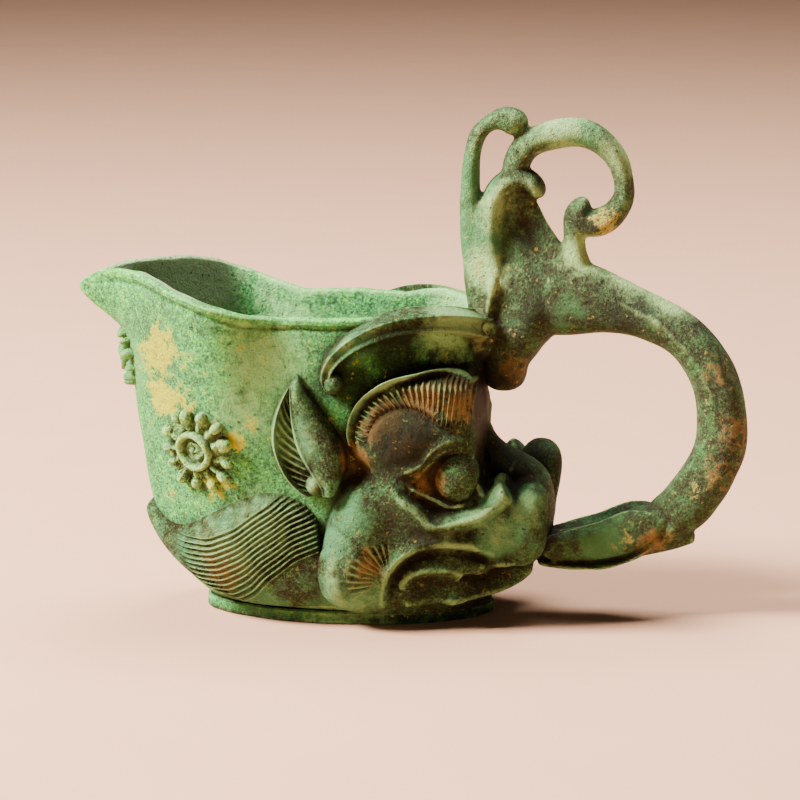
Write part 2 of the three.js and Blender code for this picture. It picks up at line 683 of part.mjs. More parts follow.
const ROOT_CORNERS = [-32, 44, 133, 258];
const rootMiddle = new THREE.Vector2(...onRim([8, 1]));
const rootOutline = polarOutline(
  [
    [-1.3, -1], [-3, 5], [-4.9, 11], [-6.2, 16.6], [-2, 19], [4, 20], [10, 17.4], [15, 14.4], [19.4, 12],
    [19.6, -1], [17.4, -5.2], [12, -8.6], [9.4, -13], [7.2, -17.8], [2.2, -16.2], [0.4, -10], [-0.4, -5],
  ].map(onRim),
  rootMiddle,
);

function rootBlank() {
  const half = (x, z) => {
    const reach = Math.hypot(x - rootMiddle.x, z - rootMiddle.y);
    const share = reach / rootOutline(Math.atan2(z - rootMiddle.y, x - rootMiddle.x));
    return share >= 1 ? 0 : (ROOT_WIDTH / 2) * Math.sqrt(1 - share ** 3);
  };
  return pillow({ outline: rootOutline, middle: rootMiddle, corners: ROOT_CORNERS, half, cells: 10 });
}

// The crest's lobe is a thick leaf that rises from the root and rolls over towards the stem.
function lobeBlank() {
  return limb({
    line: [[6, 13], [3.6, 20], [4, 26], [7.4, 29], [10.6, 28], [11, 25.4]].map(onRim),
    depth: through([7.6, 5.4, 4.2, 3.4, 2.6, 2]),
    width: shares(LOBE_WIDTH, [0.5, 0.5, 0.48, 0.44, 0.4, 0.34]),
    steps: 16,
    sides: 12,
    round: [0.1, 0.16],
  });
}

function strapBlank() {
  return limb({
    line: [[-3, 15], [-4.2, 23.4], [-4.5, 28.5], [-4.2, 33.6], [-2.7, 38.7], [0.4, 41.4], [4, 41.8], [7, 40]].map(onRim),
    depth: shares(STRAP_DEPTH, [0.75, 0.6, 0.54, 0.48, 0.46, 0.5, 0.76, 0.7]),
    width: shares(STRAP_WIDTH, [0.5, 0.48, 0.46, 0.42, 0.4, 0.4, 0.44, 0.36]),
    steps: 20,
    sides: 10,
    round: [0.1, 0.1],
  });
}

function scrollBlank() {
  return limb({
    line: [
      [4.6, 28], [5.8, 33], [9, 37], [15.4, 39.1], [20.7, 38.9], [24.9, 36.6], [27.9, 32.5], [29.1, 26.6],
      [27.4, 22.5], [24.7, 20.2], [21.4, 19.6],
    ].map(onRim),
    depth: shares(SCROLL_DEPTH, [0.46, 0.48, 0.5, 0.52, 0.5, 0.44, 0.36, 0.34, 0.42, 0.5, 0.46]),
    width: shares(SCROLL_WIDTH, [0.46, 0.5, 0.5, 0.5, 0.48, 0.45, 0.42, 0.4, 0.44, 0.48, 0.44]),
    steps: 23,
    sides: 10,
    round: [0.06, 0.08],
  });
}

function budBlank() {
  return limb({
    line: [[19, 9], [18.9, 15], [18.8, 20], [20.2, 25.4]].map(onRim),
    depth: through([3.6, 2.3, 2.7, 2.4]),
    width: through([3.6, 2.6, 3.2, 2.4]),
    steps: 12,
    sides: 10,
    round: [0.1, 0.3],
  });
}

// The assembly

const bowl = bowlMass();
const foot = footPlate();
const head = pillow({ outline: headOutline, middle: headMiddle, corners: HEAD_CORNERS, half: headHalf, cells: 18 });
const jaw = pillow({ outline: jawOutline, middle: jawMiddle, corners: JAW_CORNERS, half: jawHalf, cells: 10 });
const eye = eyeBlank();
const brow = browBlank();
const ear = earBlank();
const horn = hornBlank();
const mane = maneBlank();
const nostrils = { right: nostrilBlank(0), left: mirrored(nostrilBlank(LEFT_NOSTRIL_LIFT)) };
const tongue = tongueBlank();
const root = rootBlank();
const lobe = lobeBlank();
const strap = strapBlank();
const scroll = scrollBlank();
const stem = stemBlank();
const leftHorn = mirrored(horn);
const leftBrow = mirrored(brow);

const pieces = {
  cup_shell: cupShell(),
  foot_plate: foot,
  head_mask: seated(head, bowl, foot),
  lower_jaw: seated(jaw, bowl, foot, head),
  right_nostril: seated(nostrils.right, head, jaw),
  left_nostril: seated(nostrils.left, head, jaw),
  handle_tongue: seated(tongue, head, jaw, nostrils.right, nostrils.left),
  handle_root: seated(root, bowl, head, horn, leftHorn, brow, leftBrow),
  handle_stem: seated(stem, tongue, root),
  crest_lobe: seated(lobe, root),
  crest_strap: seated(strap, root, lobe),
  crest_scroll: seated(scroll, root, lobe, strap, stem),
  scroll_bud: seated(budBlank(), root, stem, scroll),
};

const flankPieces = {
  eye: seated(eye, head),
  brow: seated(brow, bowl, head, eye),
  ear: seated(ear, bowl, head, brow),
  horn: seated(horn, bowl, brow, ear),
  mane: seated(mane, bowl, head, ear, foot),
  rosette: seated(rosetteBlank(rosetteSpots.right_rosette), bowl),
  rosette_boss: bossBlank(rosetteSpots.right_rosette),
};

const frontRosette = rosetteBlank(rosetteSpots.front_rosette);
const cup = new THREE.Group();

function place(name, geometry, finish, parent = cup) {
  const mesh = new THREE.Mesh(geometry, new THREE.MeshStandardMaterial(finish));
  mesh.name = name;
  parent.add(mesh);
}

for (const [name, geometry] of Object.entries(pieces)) place(name, geometry, BRONZE);
place("front_rosette", seated(frontRosette, bowl), GILT);
place("front_rosette_boss", bossBlank(rosetteSpots.front_rosette), GILT);

// The left flank mirrors the right one.
const leftFlank = new THREE.Group();
leftFlank.scale.y = -1;
cup.add(leftFlank);
for (const [name, geometry] of Object.entries(flankPieces)) {
  const finish = name.startsWith("rosette") ? GILT : BRONZE;
  place(`right_${name}`, geometry, finish);
  place(`left_${name}`, geometry, finish, leftFlank);
}

export default cup;
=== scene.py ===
"""Bronze wine cup with a beast's head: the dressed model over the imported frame.

Lengths in the classes are millimetres and are turned into metres when a mesh is made. The beast faces +X,
the near flank is the one at negative y, and the origin is the centre of the foot's underside.
"""

import logging
from dataclasses import dataclass, replace
from enum import Enum
from typing import Sequence

import bmesh
import bpy
import numpy as np
from mathutils import Matrix


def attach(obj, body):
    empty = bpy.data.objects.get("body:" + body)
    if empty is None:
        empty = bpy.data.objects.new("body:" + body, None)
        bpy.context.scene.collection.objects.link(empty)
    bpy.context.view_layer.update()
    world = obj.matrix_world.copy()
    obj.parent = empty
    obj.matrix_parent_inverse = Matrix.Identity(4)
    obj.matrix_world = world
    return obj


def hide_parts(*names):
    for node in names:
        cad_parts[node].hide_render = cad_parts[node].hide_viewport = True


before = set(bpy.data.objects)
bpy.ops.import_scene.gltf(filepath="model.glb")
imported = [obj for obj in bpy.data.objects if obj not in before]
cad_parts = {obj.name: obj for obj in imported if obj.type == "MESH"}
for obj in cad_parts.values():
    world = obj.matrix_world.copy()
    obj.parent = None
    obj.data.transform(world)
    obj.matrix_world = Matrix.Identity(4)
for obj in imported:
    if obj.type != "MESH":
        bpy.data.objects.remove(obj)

Array = np.ndarray
Line = Sequence[tuple[float, float]]
LOG = logging.getLogger("wine_cup")
MM = 0.001
# The whole of a parameter that runs from 0 to 1
WHOLE = (0.0, 1.0)
# Keeps a division by a length from being one by zero
TINY = 1e-12
# Takes a place on the near flank to the far one
MIRROR = np.array([1.0, -1.0, 1.0])
# The middle of the bowl, away from which the skins face
BOWL_MIDDLE = np.array([-6.0, 0.0, 0.0])
# Distances in metres under which vertices are welded and slivers dissolved
WELD = 2e-6
SLIVER = 1e-7
# How far rods and balls stop short of their poles
POLE = 0.02
# Steps of a stroke's line for each of its points, and the share of its height that its ends keep
STROKE_STEPS = 14
STROKE_END = 0.25
# Share by which one fairing pass moves a vertex
FAIRING = 0.5


class Slot(Enum):
    """The record's material slots."""

    BOWL = "bowl_patina"
    HEAD = "head_patina"
    HANDLE = "handle_patina"
    GILT = "gilt_patina"


class Tint(Enum):
    """The colours laid over the ground patina, partly weathering and partly painted light and shade; each one
    is a point attribute.
    """

    GILT = "gilt"
    RUST = "rust"
    # Turquoise patina, and painted light on the nose, the cheekbone and the ear
    COOL_AND_LIT = "cool_and_lit"
    # Soot and painted shade in the hollows and where shadows fall
    SOOT_AND_SHADE = "soot_and_shade"
    # Pale metal: partly wear on crests, partly painted highlights on lit tops and crests
    PALE_AND_HIGHLIGHT = "pale"


# Small mathematics on whole arrays


def smooth(t: Array) -> Array:
    """Smoothstep: 3t^2 - 2t^3 between 0 and 1, flat outside."""
    t = np.clip(t, 0.0, 1.0)
    return t * t * (3.0 - 2.0 * t)


def bell(t: Array) -> Array:
    """Bell curve exp(-t^2)."""
    return np.exp(-t * t)


def dome(t: Array) -> Array:
    """Quarter-circle profile sqrt(1 - t^2), zero outside."""
    return np.sqrt(np.clip(1.0 - t * t, 0.0, None))


def window(value: Array, limits: tuple[float, float], fades: tuple[float, float]) -> Array:
    """A smooth window between two limits, which rises over the first fade and falls over the second."""
    return smooth((value - limits[0]) / fades[0]) * smooth((limits[1] - value) / fades[1])


def through(stations: Sequence, t: Array) -> Array:
    """A smooth run through evenly spaced stations: a uniform Catmull-Rom spline with held ends.

    Args:
        stations: numbers, or points of any dimension.
        t: where to read the run, 0 at the first station and 1 at the last.

    Returns:
        The values at t, with the stations' dimension as last axis if they are points.
    """
    marks = np.asarray(stations, dtype=float)
    plain = marks.ndim == 1
    marks = marks[:, None] if plain else marks
    last = len(marks) - 1
    at = np.clip(np.asarray(t, dtype=float), 0.0, 1.0) * last
    i = np.clip(np.floor(at).astype(int), 0, last - 1)
    f = (at - i)[..., None]
    before, here = marks[np.maximum(i - 1, 0)], marks[i]
    there, after = marks[i + 1], marks[np.minimum(i + 2, last)]
    bend = 2 * before - 5 * here + 4 * there - after
    twist = 3 * here - before - 3 * there + after
    value = 0.5 * (2 * here + (there - before) * f + bend * f**2 + twist * f**3)
    return value[..., 0] if plain else value


def hand(points: Array, size: float, phase: float) -> Array:
    """The unevenness of a hand-worked wax: a sum of four sine waves in skew directions, about -1 to 1.

    Args:
        points: places, with x, y and z as last axis.
        size: length of the main wave.
        phase: shift that makes two uses differ.

    Returns:
        One number for every place.
    """
    waves = np.array([[1.0, 0.3, 0.5], [-0.4, 1.0, 0.8], [0.7, -0.9, 1.1], [-1.3, 0.5, 0.9]])
    turns = points @ waves.T * (2 * np.pi / size) + phase * np.array([1.0, 2.3, 3.1, 4.7])
    return np.sin(turns) @ np.array([0.4, 0.28, 0.2, 0.12])


def grid(rows: int, columns: int) -> tuple[Array, Array]:
    """Two parameters from 0 to 1, the first along the rows and the second along the columns."""
    return np.meshgrid(np.linspace(0, 1, rows), np.linspace(0, 1, columns), indexing="ij")


def unit(vectors: Array) -> Array:
    """Vectors brought to length one: each is divided by its own length."""
    return vectors / (np.linalg.norm(vectors, axis=-1, keepdims=True) + TINY)


def outward(points: Array) -> Array:
    """Unit normals of a grid of points, turned away from the middle of the bowl.

    The normal is the cross product of the grid's two central differences.

    Args:
        points: a grid of places, rows by columns by 3.

    Returns:
        Normals of the same shape.
    """
    cross = unit(np.cross(np.gradient(points, axis=0), np.gradient(points, axis=1)))
    away = (points - BOWL_MIDDLE) * np.array([1.0, 1.0, 0.0])
    return cross if np.sum(cross * away) > 0 else -cross


# Relief strokes: what a modelling tool does to a flank, as functions of x and z


@dataclass(frozen=True)
class Stroke:
    """A ridge or groove along a line, with a bell-shaped section that may be steeper on one side.

    Attributes:
        line: points of the stroke's middle line.
        height: how far it stands out; negative for a groove.
        left: width of the section on the left of the line's direction.
        right: width on the right.
        fade: share of the line over which the stroke fades out at each end.
    """

    line: Line
    height: float
    left: float
    right: float
    fade: float = 0.12

    def lift(self, x: Array, z: Array) -> Array:
        """Height of the stroke: height * exp(-(distance to the line / width)^2), faded towards the ends.

        Args:
            x: places along the cup.
            z: heights.

        Returns:
            The relief at each place.
        """
        share = np.linspace(0, 1, STROKE_STEPS * len(self.line))
        marks = through(self.line, share)
        run = np.gradient(marks, axis=0)
        near = np.argmin((x[..., None] - marks[:, 0]) ** 2 + (z[..., None] - marks[:, 1]) ** 2, axis=-1)
        dx, dz = x - marks[near, 0], z - marks[near, 1]
        distance = np.sqrt(dx * dx + dz * dz)
        side = run[near, 0] * dz - run[near, 1] * dx
        width = np.where(side > 0, self.left, self.right)
        ends = window(share[near], WHOLE, (self.fade, self.fade))
        return self.height * bell(distance / width) * (STROKE_END + (1 - STROKE_END) * ends)


@dataclass(frozen=True)
class Mound:
    """A round swelling or hollow.

    Attributes:
        middle: x and z of its top.
        height: how far it stands out; negative for a hollow.
        reach: half length and half height.
        crisp: 0 for a soft bell, 1 for a ball that meets the ground in a crease.
        tilt: turn of its long axis in degrees.
    """

    middle: tuple[float, float]
    height: float
    reach: tuple[float, float]
    crisp: float = 0.0
    tilt: float = 0.0

    def lift(self, x: Array, z: Array) -> Array:
        """Height of the mound: a mix of exp(-r^2) and sqrt(1 - r^2) of the elliptical distance r.

        Args:
            x: places along the cup.
            z: heights.

        Returns:
            The relief at each place.
        """
        turn = np.radians(self.tilt)
        dx, dz = x - self.middle[0], z - self.middle[1]
        along = (dx * np.cos(turn) + dz * np.sin(turn)) / self.reach[0]
        across = (dz * np.cos(turn) - dx * np.sin(turn)) / self.reach[1]
        r = np.hypot(along, across)
        return self.height * (self.crisp * dome(r) + (1 - self.crisp) * bell(r))


def relief(strokes: Sequence[Stroke | Mound], x: Array, z: Array) -> Array:
    """The sum of all strokes at each place."""
    return np.sum([stroke.lift(x, z) for stroke in strokes], axis=0)


# Skins and castings


@dataclass
class Skin:
    """A closed surface in millimetres.

    Attributes:
        points: places of the vertices.
        faces: corner numbers of each face.
    """

    points: Array
    faces: list[list[int]]

    def mirrored(self) -> "Skin":
        """The same skin on the other flank, with its faces turned round."""
        return Skin(self.points * MIRROR, [face[::-1] for face in self.faces])


def quads(rows: int, columns: int, around: bool = False) -> Array:
    """Corner numbers of the cells of a grid, rows by columns.

    Args:
        rows: number of rows.
        columns: number of columns.
        around: whether the last column joins the first.

    Returns:
        One row of four corners for every cell.
    """
    index = np.arange(rows * columns).reshape(rows, columns)
    if around:
        index = np.concatenate([index, index[:, :1]], axis=1)
    corners = [index[:-1, :-1], index[1:, :-1], index[1:, 1:], index[:-1, 1:]]
    return np.stack(corners, axis=-1).reshape(-1, 4)


def closed_relief(front: Array, back: Array) -> Skin:
    """A plate between a front and a back grid with equal rows; its four edges are closed.

    The back may have fewer columns: then the first and last row are closed by one flat face each.

    Args:
        front: places of the front, rows by columns by 3.
        back: places of the back.

    Returns:
        The closed skin.
    """
    rows, columns = front.shape[:2]
    behind = back.shape[1]
    start = rows * columns
    ahead = np.arange(start).reshape(rows, columns)
    rear = start + np.arange(rows * behind).reshape(rows, behind)
    faces = quads(rows, columns).tolist()
    faces += (start + quads(rows, behind)[:, ::-1]).tolist()
    for a, b in ((ahead[:, 0], rear[:, 0]), (ahead[::-1, -1], rear[::-1, -1])):
        faces += np.stack([a[1:], a[:-1], b[:-1], b[1:]], axis=-1).tolist()
    for a, b in ((ahead[0], rear[0]), (ahead[-1, ::-1], rear[-1, ::-1])):
        if columns == behind:
            faces += np.stack([a[:-1], a[1:], b[1:], b[:-1]], axis=-1).tolist()
        else:
            faces.append(a.tolist() + b[::-1].tolist())
    points = np.concatenate([front.reshape(-1, 3), back.reshape(-1, 3)])
    return Skin(points, faces)


def closed_tube(rings: Array) -> Skin:
    """A skin round a row of rings, each end closed by one face.

    Args:
        rings: places, rings by sides by 3.

    Returns:
        The closed skin.
    """
    rows, sides = rings.shape[:2]
    faces = quads(rows, sides, around=True).tolist()
    faces.append(list(range(sides)))
    faces.append(list(range(rows * sides - 1, (rows - 1) * sides - 1, -1)))
    return Skin(rings.reshape(-1, 3), faces)


def merged(skins: Sequence[Skin]) -> Skin:
    """Several skins in one mesh, with their corner numbers counted on.

    Args:
        skins: the skins.

    Returns:
        The joint skin, whose parts may overlap.
    """
    starts = np.cumsum([0] + [len(skin.points) for skin in skins]).tolist()
    faces = [[start + i for i in face] for skin, start in zip(skins, starts) for face in skin.faces]
    return Skin(np.concatenate([skin.points for skin in skins]), faces)


def plate(ground: Array, height: Array, sink: float, level: float = 0.0) -> Skin:
    """An ornament on a ground: its front stands out by a height along the normals, its back is sunk.

    Args:
        ground: places of the ground, rows by columns by 3.
        height: how far the front stands out at each place.
        sink: how deep the back lies under the ground.
        level: share by which the normals are laid level.

    Returns:
        The closed skin.
    """
    normals = unit(outward(ground) * np.array([1.0, 1.0, 1.0 - level]))
    return closed_relief(ground + normals * height[..., None], ground - normals * sink)


@dataclass
class Limb:
    """A rounded rod whose middle line lies in a plane of constant y.

    Attributes:
        line: x and z points of the middle line.
        depth: half thickness in the plane, at even steps along the line.
        width: half thickness across the plane, at even steps.
        y: the plane.
        ends: shares of the length over which the two ends are rounded.
        square: 2 for an oval section, more for a squarer one.
    """

    line: Line
    depth: Sequence[float]
    width: Sequence[float]
    y: float = 0.0
    ends: tuple[float, float] = (0.08, 0.08)
    square: float = 2.0

    def skin(self, rows: int = 90, sides: int = 40) -> Skin:
        """Rings of a superellipse, |c|^(2/n) and |s|^(2/n), square to the line and shrunk at the ends.

        Args:
            rows: number of rings.
            sides: number of points in a ring.

        Returns:
            The closed skin.
        """
        t = 0.5 - 0.5 * np.cos(np.pi * np.linspace(POLE, 1 - POLE, rows))
        middle = through(self.line, t)
        run = unit(np.gradient(middle, axis=0))
        size = dome(1 - np.minimum(1, t / self.ends[0])) * dome(1 - np.minimum(1, (1 - t) / self.ends[1]))
        turn = np.linspace(0, 2 * np.pi, sides, endpoint=False)
        power = 2.0 / self.square
        ring_depth = np.sign(np.cos(turn)) * np.abs(np.cos(turn)) ** power
        ring_width = np.sign(np.sin(turn)) * np.abs(np.sin(turn)) ** power
        inward = (through(self.depth, t) * size)[:, None] * ring_depth
        across = (through(self.width, t) * size)[:, None] * ring_width
        x = middle[:, :1] - run[:, 1:] * inward
        z = middle[:, 1:] + run[:, :1] * inward
        return closed_tube(np.stack([x, self.y + across, z], axis=-1))


@dataclass
class Casting:
    """One finished piece.

    Attributes:
        name: name of its object.
        body: its object.
        nodes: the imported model's nodes that it stands for.
        slot: the material slot that it takes its finish from.
    """

    name: str
    body: bpy.types.Object
    nodes: tuple[str, ...]
    slot: Slot


def pour(name: str, skin: Skin, nodes: Sequence[str], slot: Slot) -> Casting:
    """Makes a mesh object from a skin, closes its seams and poles and turns its faces outwards.

    Args:
        name: name of the piece.
        skin: its surface in millimetres.
        nodes: the nodes that it stands for.
        slot: its material slot.

    Returns:
        The casting.
    """
    mesh = bpy.data.meshes.new(name)
    mesh.from_pydata((skin.points * MM).tolist(), [], skin.faces)
    work = bmesh.new()
    work.from_mesh(mesh)
    bmesh.ops.remove_doubles(work, verts=work.verts[:], dist=WELD)
    bmesh.ops.dissolve_degenerate(work, edges=work.edges[:], dist=SLIVER)
    bmesh.ops.recalc_face_normals(work, faces=work.faces[:])
    work.to_mesh(mesh)
    work.free()
    mesh.shade_smooth()
    body = bpy.data.objects.new(name, mesh)
    bpy.context.scene.collection.objects.link(body)
    return Casting(name, body, tuple(nodes), slot)


def fuse(casting: Casting, voxel: float, passes: int) -> None:
    """Runs the overlapping skins of a casting into one, as the wax was, and fairs the joints.

    Args:
        casting: the piece, whose mesh is replaced.
        voxel: cell size of the remeshing in millimetres.
        passes: number of smoothing passes.
    """
    remesh = casting.body.modifiers.new("Run together", "REMESH")
    remesh.mode = "VOXEL"
    remesh.voxel_size = voxel * MM
    fair = casting.body.modifiers.new("Fair", "SMOOTH")
    fair.factor = FAIRING
    fair.iterations = passes
    seen = casting.body.evaluated_get(bpy.context.evaluated_depsgraph_get())
    mesh = bpy.data.meshes.new_from_object(seen)
    casting.body.modifiers.clear()
    casting.body.data = mesh
    mesh.shade_smooth()


def places(mesh: bpy.types.Mesh) -> tuple[Array, Array]:
    """Reads the vertices of a mesh.

    Args:
        mesh: the mesh.

    Returns:
        Their places in millimetres and their normals.
    """
    points = np.empty(len(mesh.vertices) * 3, dtype=np.float32)
    normals = np.empty_like(points)
    mesh.vertices.foreach_get("co", points)
    mesh.vertex_normals.foreach_get("vector", normals)
    return points.reshape(-1, 3).astype(float) / MM, normals.reshape(-1, 3).astype(float)


def tool(casting: Casting, height: Array) -> None:
    """Moves every vertex of a casting along its normal.

    Args:
        casting: the piece.
        height: how far each vertex moves, in millimetres.
    """
    points, normals = places(casting.body.data)
    moved = (points + normals * height[:, None]) * MM
    casting.body.data.vertices.foreach_set("co", moved.astype(np.float32).ravel())
    casting.body.data.update()


def store(mesh: bpy.types.Mesh, name: str, values: Array) -> None:
    """Stores one number for every vertex as a point attribute."""
    layer = mesh.attributes.new(name, "FLOAT", "POINT")
    layer.data.foreach_set("value", values.astype(np.float32))


# The bowl and the foot


@dataclass
class Bowl:
    """The oval bowl with its pouring beak; the other classes take their ground from it."""

    foot_length: float = 65.0
    foot_width: float = 34.0
    foot_height: float = 2.8
    foot_round: float = 0.7
    foot_play: float = 0.2
    foot_top: float = 4.0
    foot_hub: float = 12.0
    foot_sides: int = 300
    foot_rows: int = 17
    ledge: float = 1.2
    base: float = 3.1
    height: float = 65.0
    wall_thickness: float = 2.4
    wall_play: float = 0.16
    floor: float = 3.0
    swell_height: float = 9.0
    swell_back: float = 11.5
    swell_side: float = 4.2
    lean_back: float = 7.7
    lean_front: float = -1.2
    lean_side: float = 1.0
    fullness: float = 0.4
    spout_rise: float = 7.8
    spout_spread: float = 1.11
    rim_lift: float = 1.8
    rim_lift_at: float = 0.78
    rim_lift_width: float = 0.15
    rim_dip: float = 2.2
    rim_dip_at: float = 0.88
    rim_dip_width: float = 0.12
    rim_play: float = 0.6
    lip_round: float = 0.7
    lip_play: float = 0.15
    lip_stand: float = 0.22
    lip_at: float = 0.981
    lip_fold: float = 0.45
    lip_fold_at: float = 0.972
    lip_fold_width: float = 0.008
    beak_reach: float = 9.8
    beak_width: float = 9.0
    beak_height: float = 12.0
    beak_droop: float = 4.0
    beak_droop_width: float = 0.15
    beak_plain: float = 0.3
    lining: float = 1.1
    lining_end: float = -40.0
    lining_fade: float = 20.0
    sides: int = 420
    outer_rows: int = 110
    inner_rows: int = 60
    lip_rows: int = 11

    @property
    def rim_low(self) -> float:
        """Height of the low part of the rim."""
        return self.base + self.height

    @property
    def face_x(self) -> float:
        """The foot of the bowl's front wall, from which the head is measured."""
        return self.foot_length / 2 - self.ledge

    def climb(self, z: Array) -> Array:
        """Share of the bowl's height."""
        return np.maximum(0.0, z - self.base) / self.height

    def swell(self, z: Array) -> Array:
        """How far the bowl has rounded out: 1 - exp(-height / swell height)."""
        return 1.0 - np.exp(-np.maximum(0.0, z - self.base) / self.swell_height)

    def back(self, z: Array) -> Array:
        """Reach of the wall towards the spout."""
        return self.face_x + self.swell_back * self.swell(z) + self.lean_back * self.climb(z)

    def front(self, z: Array) -> Array:
        """Reach of the wall towards the handle."""
        return self.face_x + self.lean_front * self.climb(z)

    def side(self, z: Array) -> Array:
        """Half width of the wall."""
        half = self.foot_width / 2 - self.ledge
        return half + self.swell_side * self.swell(z) + self.lean_side * self.climb(z)

    def wall(self, turn: Array, z: Array, inset: float = 0.0) -> Array:
        """Places of the wall: an oval that grows with height, fuller towards the spout, with a pulled beak.

        Args:
            turn: direction round the bowl, 0 at the front, a quarter turn on the near flank.
            z: heights.
            inset: how far inside the outer wall.

        Returns:
            Places, with x, y and z as last axis.
        """
        front, back = self.front(z) - inset, self.back(z) - inset
        along = np.cos(turn)
        full = 1 + self.fullness * self.climb(z) ** 1.5 * np.sin(np.pi * np.maximum(0.0, -along)) ** 2
        y = -(self.side(z) - inset) * np.sin(turn) * full
        root = self.rim_low + self.spout_rise - self.beak_droop - self.beak_height
        pull = np.where(along < 0, bell(2 * y / self.beak_width), 0.0)
        beak = self.beak_reach * smooth((z - root) / self.beak_height) * pull
        x = (front - back) / 2 + (front + back) / 2 * along - beak
        return np.stack(np.broadcast_arrays(x, y, z), axis=-1)

    def turn_at(self, x: Array, z: Array) -> Array:
        """The turn at which the near flank has a given x: the arc cosine of its share of the length.

        Args:
            x: places along the cup.
            z: heights.

        Returns:
            The direction round the bowl at each place.
        """
        middle = (self.front(z) - self.back(z)) / 2
        half = (self.front(z) + self.back(z)) / 2
        return np.arccos(np.clip((x - middle) / half, -1.0, 1.0))

    def half(self, x: Array, z: Array) -> Array:
        """Half width of the bowl at a given x and height."""
        return -self.wall(self.turn_at(x, z), z)[..., 1]

    def flank(self, x: Array, z: Array, level: float) -> Array:
        """Places on the near flank, in the direction that has the given x at one level."""
        return self.wall(self.turn_at(x, np.full_like(z, level)), z)

    def rim(self, turn: Array) -> Array:
        """Height of the rim: low along the flanks, raised at the spout, dipped at the handle.

        Args:
            turn: direction round the bowl.

        Returns:
            The height in each direction.
        """
        along = np.cos(turn)
        spout = self.spout_rise * smooth(-along * self.spout_spread)
        lift = self.rim_lift * bell((along - self.rim_lift_at) / self.rim_lift_width)
        dip = self.rim_dip * smooth((along - self.rim_dip_at) / self.rim_dip_width)
        droop = self.beak_droop * bell(np.sin(turn) / self.beak_droop_width)
        return self.rim_low + spout + lift - dip - np.where(along < 0, droop, 0.0)

    def shell(self) -> Skin:
        """The bowl's skin: outer wall, rounded rim, inner wall and floor as one grid round the cup.

        Three sine waves make the rim uneven. Close under it the lip stands out over a bell-shaped fold, which
        leaves the beak plain.

        Returns:
            The closed skin.
        """
        turn = np.linspace(0, 2 * np.pi, self.sides, endpoint=False)
        uneven = 0.25 * np.sin(5 * turn + 1) + 0.18 * np.sin(13 * turn) + 0.1 * np.sin(29 * turn + 2)
        rim = self.rim(turn) + uneven * self.rim_play
        outside = 1 - np.linspace(1, 0, self.outer_rows)[:, None] ** 1.5
        inside = np.linspace(1, 0, self.inner_rows)[:, None]
        outer = self.wall(turn[None], self.base + (rim - self.base) * outside)
        stand = self.lip_stand * smooth((outside - self.lip_at) / self.lip_fold_width)
        fold = stand - self.lip_fold * bell((outside - self.lip_fold_at) / self.lip_fold_width)
        plain = np.where(np.cos(turn) < 0, bell(np.sin(turn) / self.beak_plain), 0.0)
        height = fold * (1 - plain) + self.wall_play * hand(outer, 17.0, 0.4)
        outer = outer + outward(outer) * height[..., None]
        low = self.base + self.floor
        inner = self.wall(turn[None], low + (rim - low) * inside**1.2, self.wall_thickness)
        bend = np.linspace(0, np.pi, self.lip_rows)[1:-1, None, None]
        middle, reach = (outer[-1] + inner[0]) / 2, (outer[-1] - inner[0]) / 2
        lip = middle + reach * np.cos(bend)
        lip[..., 2] += (self.lip_round + self.lip_play * uneven) * np.sin(bend[..., 0])
        under = (outer[:1] + np.array([0.0, 0.0, self.base])) / 2
        bottom = (inner[-1:] + np.array([0.0, 0.0, low])) / 2
        return closed_tube(np.concatenate([under, outer, lip, inner, bottom]))

    def foot(self) -> Skin:
        """The foot's skin: an oval whose edge profile is a rounded slab, a little uneven.

        Returns:
            The closed skin.
        """
        turn = np.linspace(0, 2 * np.pi, self.foot_sides, endpoint=False)
        bend = np.linspace(-np.pi / 2, np.pi / 2, self.foot_rows)
        inset = self.foot_round * (1 - np.cos(bend))
        mid = self.foot_height / 2
        z = mid + np.sign(bend) * (mid - self.foot_round) + self.foot_round * np.sin(bend)
        inset = np.concatenate([[self.foot_hub], inset, [self.foot_top, self.foot_hub]])[:, None]
        z = np.concatenate([[0.0], z, [self.foot_height] * 2])[:, None]
        wave = 0.12 * np.sin(7 * turn + 1) + 0.1 * np.sin(16 * turn)
        x = (self.foot_length / 2 - self.foot_play - inset + wave) * np.cos(turn)
        y = -(self.foot_width / 2 - self.foot_play - inset + wave) * np.sin(turn)
        return closed_tube(np.stack(np.broadcast_arrays(x, y, z), axis=-1))

    def build(self) -> list[Casting]:
        """The bowl and the foot; the bowl's attribute lined marks its inside, fading from the spout.

        Returns:
            The castings.
        """
        bowl = pour("bowl", self.shell(), ["cup_shell"], Slot.BOWL)
        points, normals = places(bowl.body.data)
        inside = np.sum(points[:, :2] * normals[:, :2], axis=-1) < 0
        fade = smooth((points[:, 0] - self.lining_end) / self.lining_fade)
        lined = inside * (self.lining - self.lining * fade)
        store(bowl.body.data, "lined", lined)
        return [bowl, pour("foot", self.foot(), ["foot_plate"], Slot.BOWL)]


# The beast's head


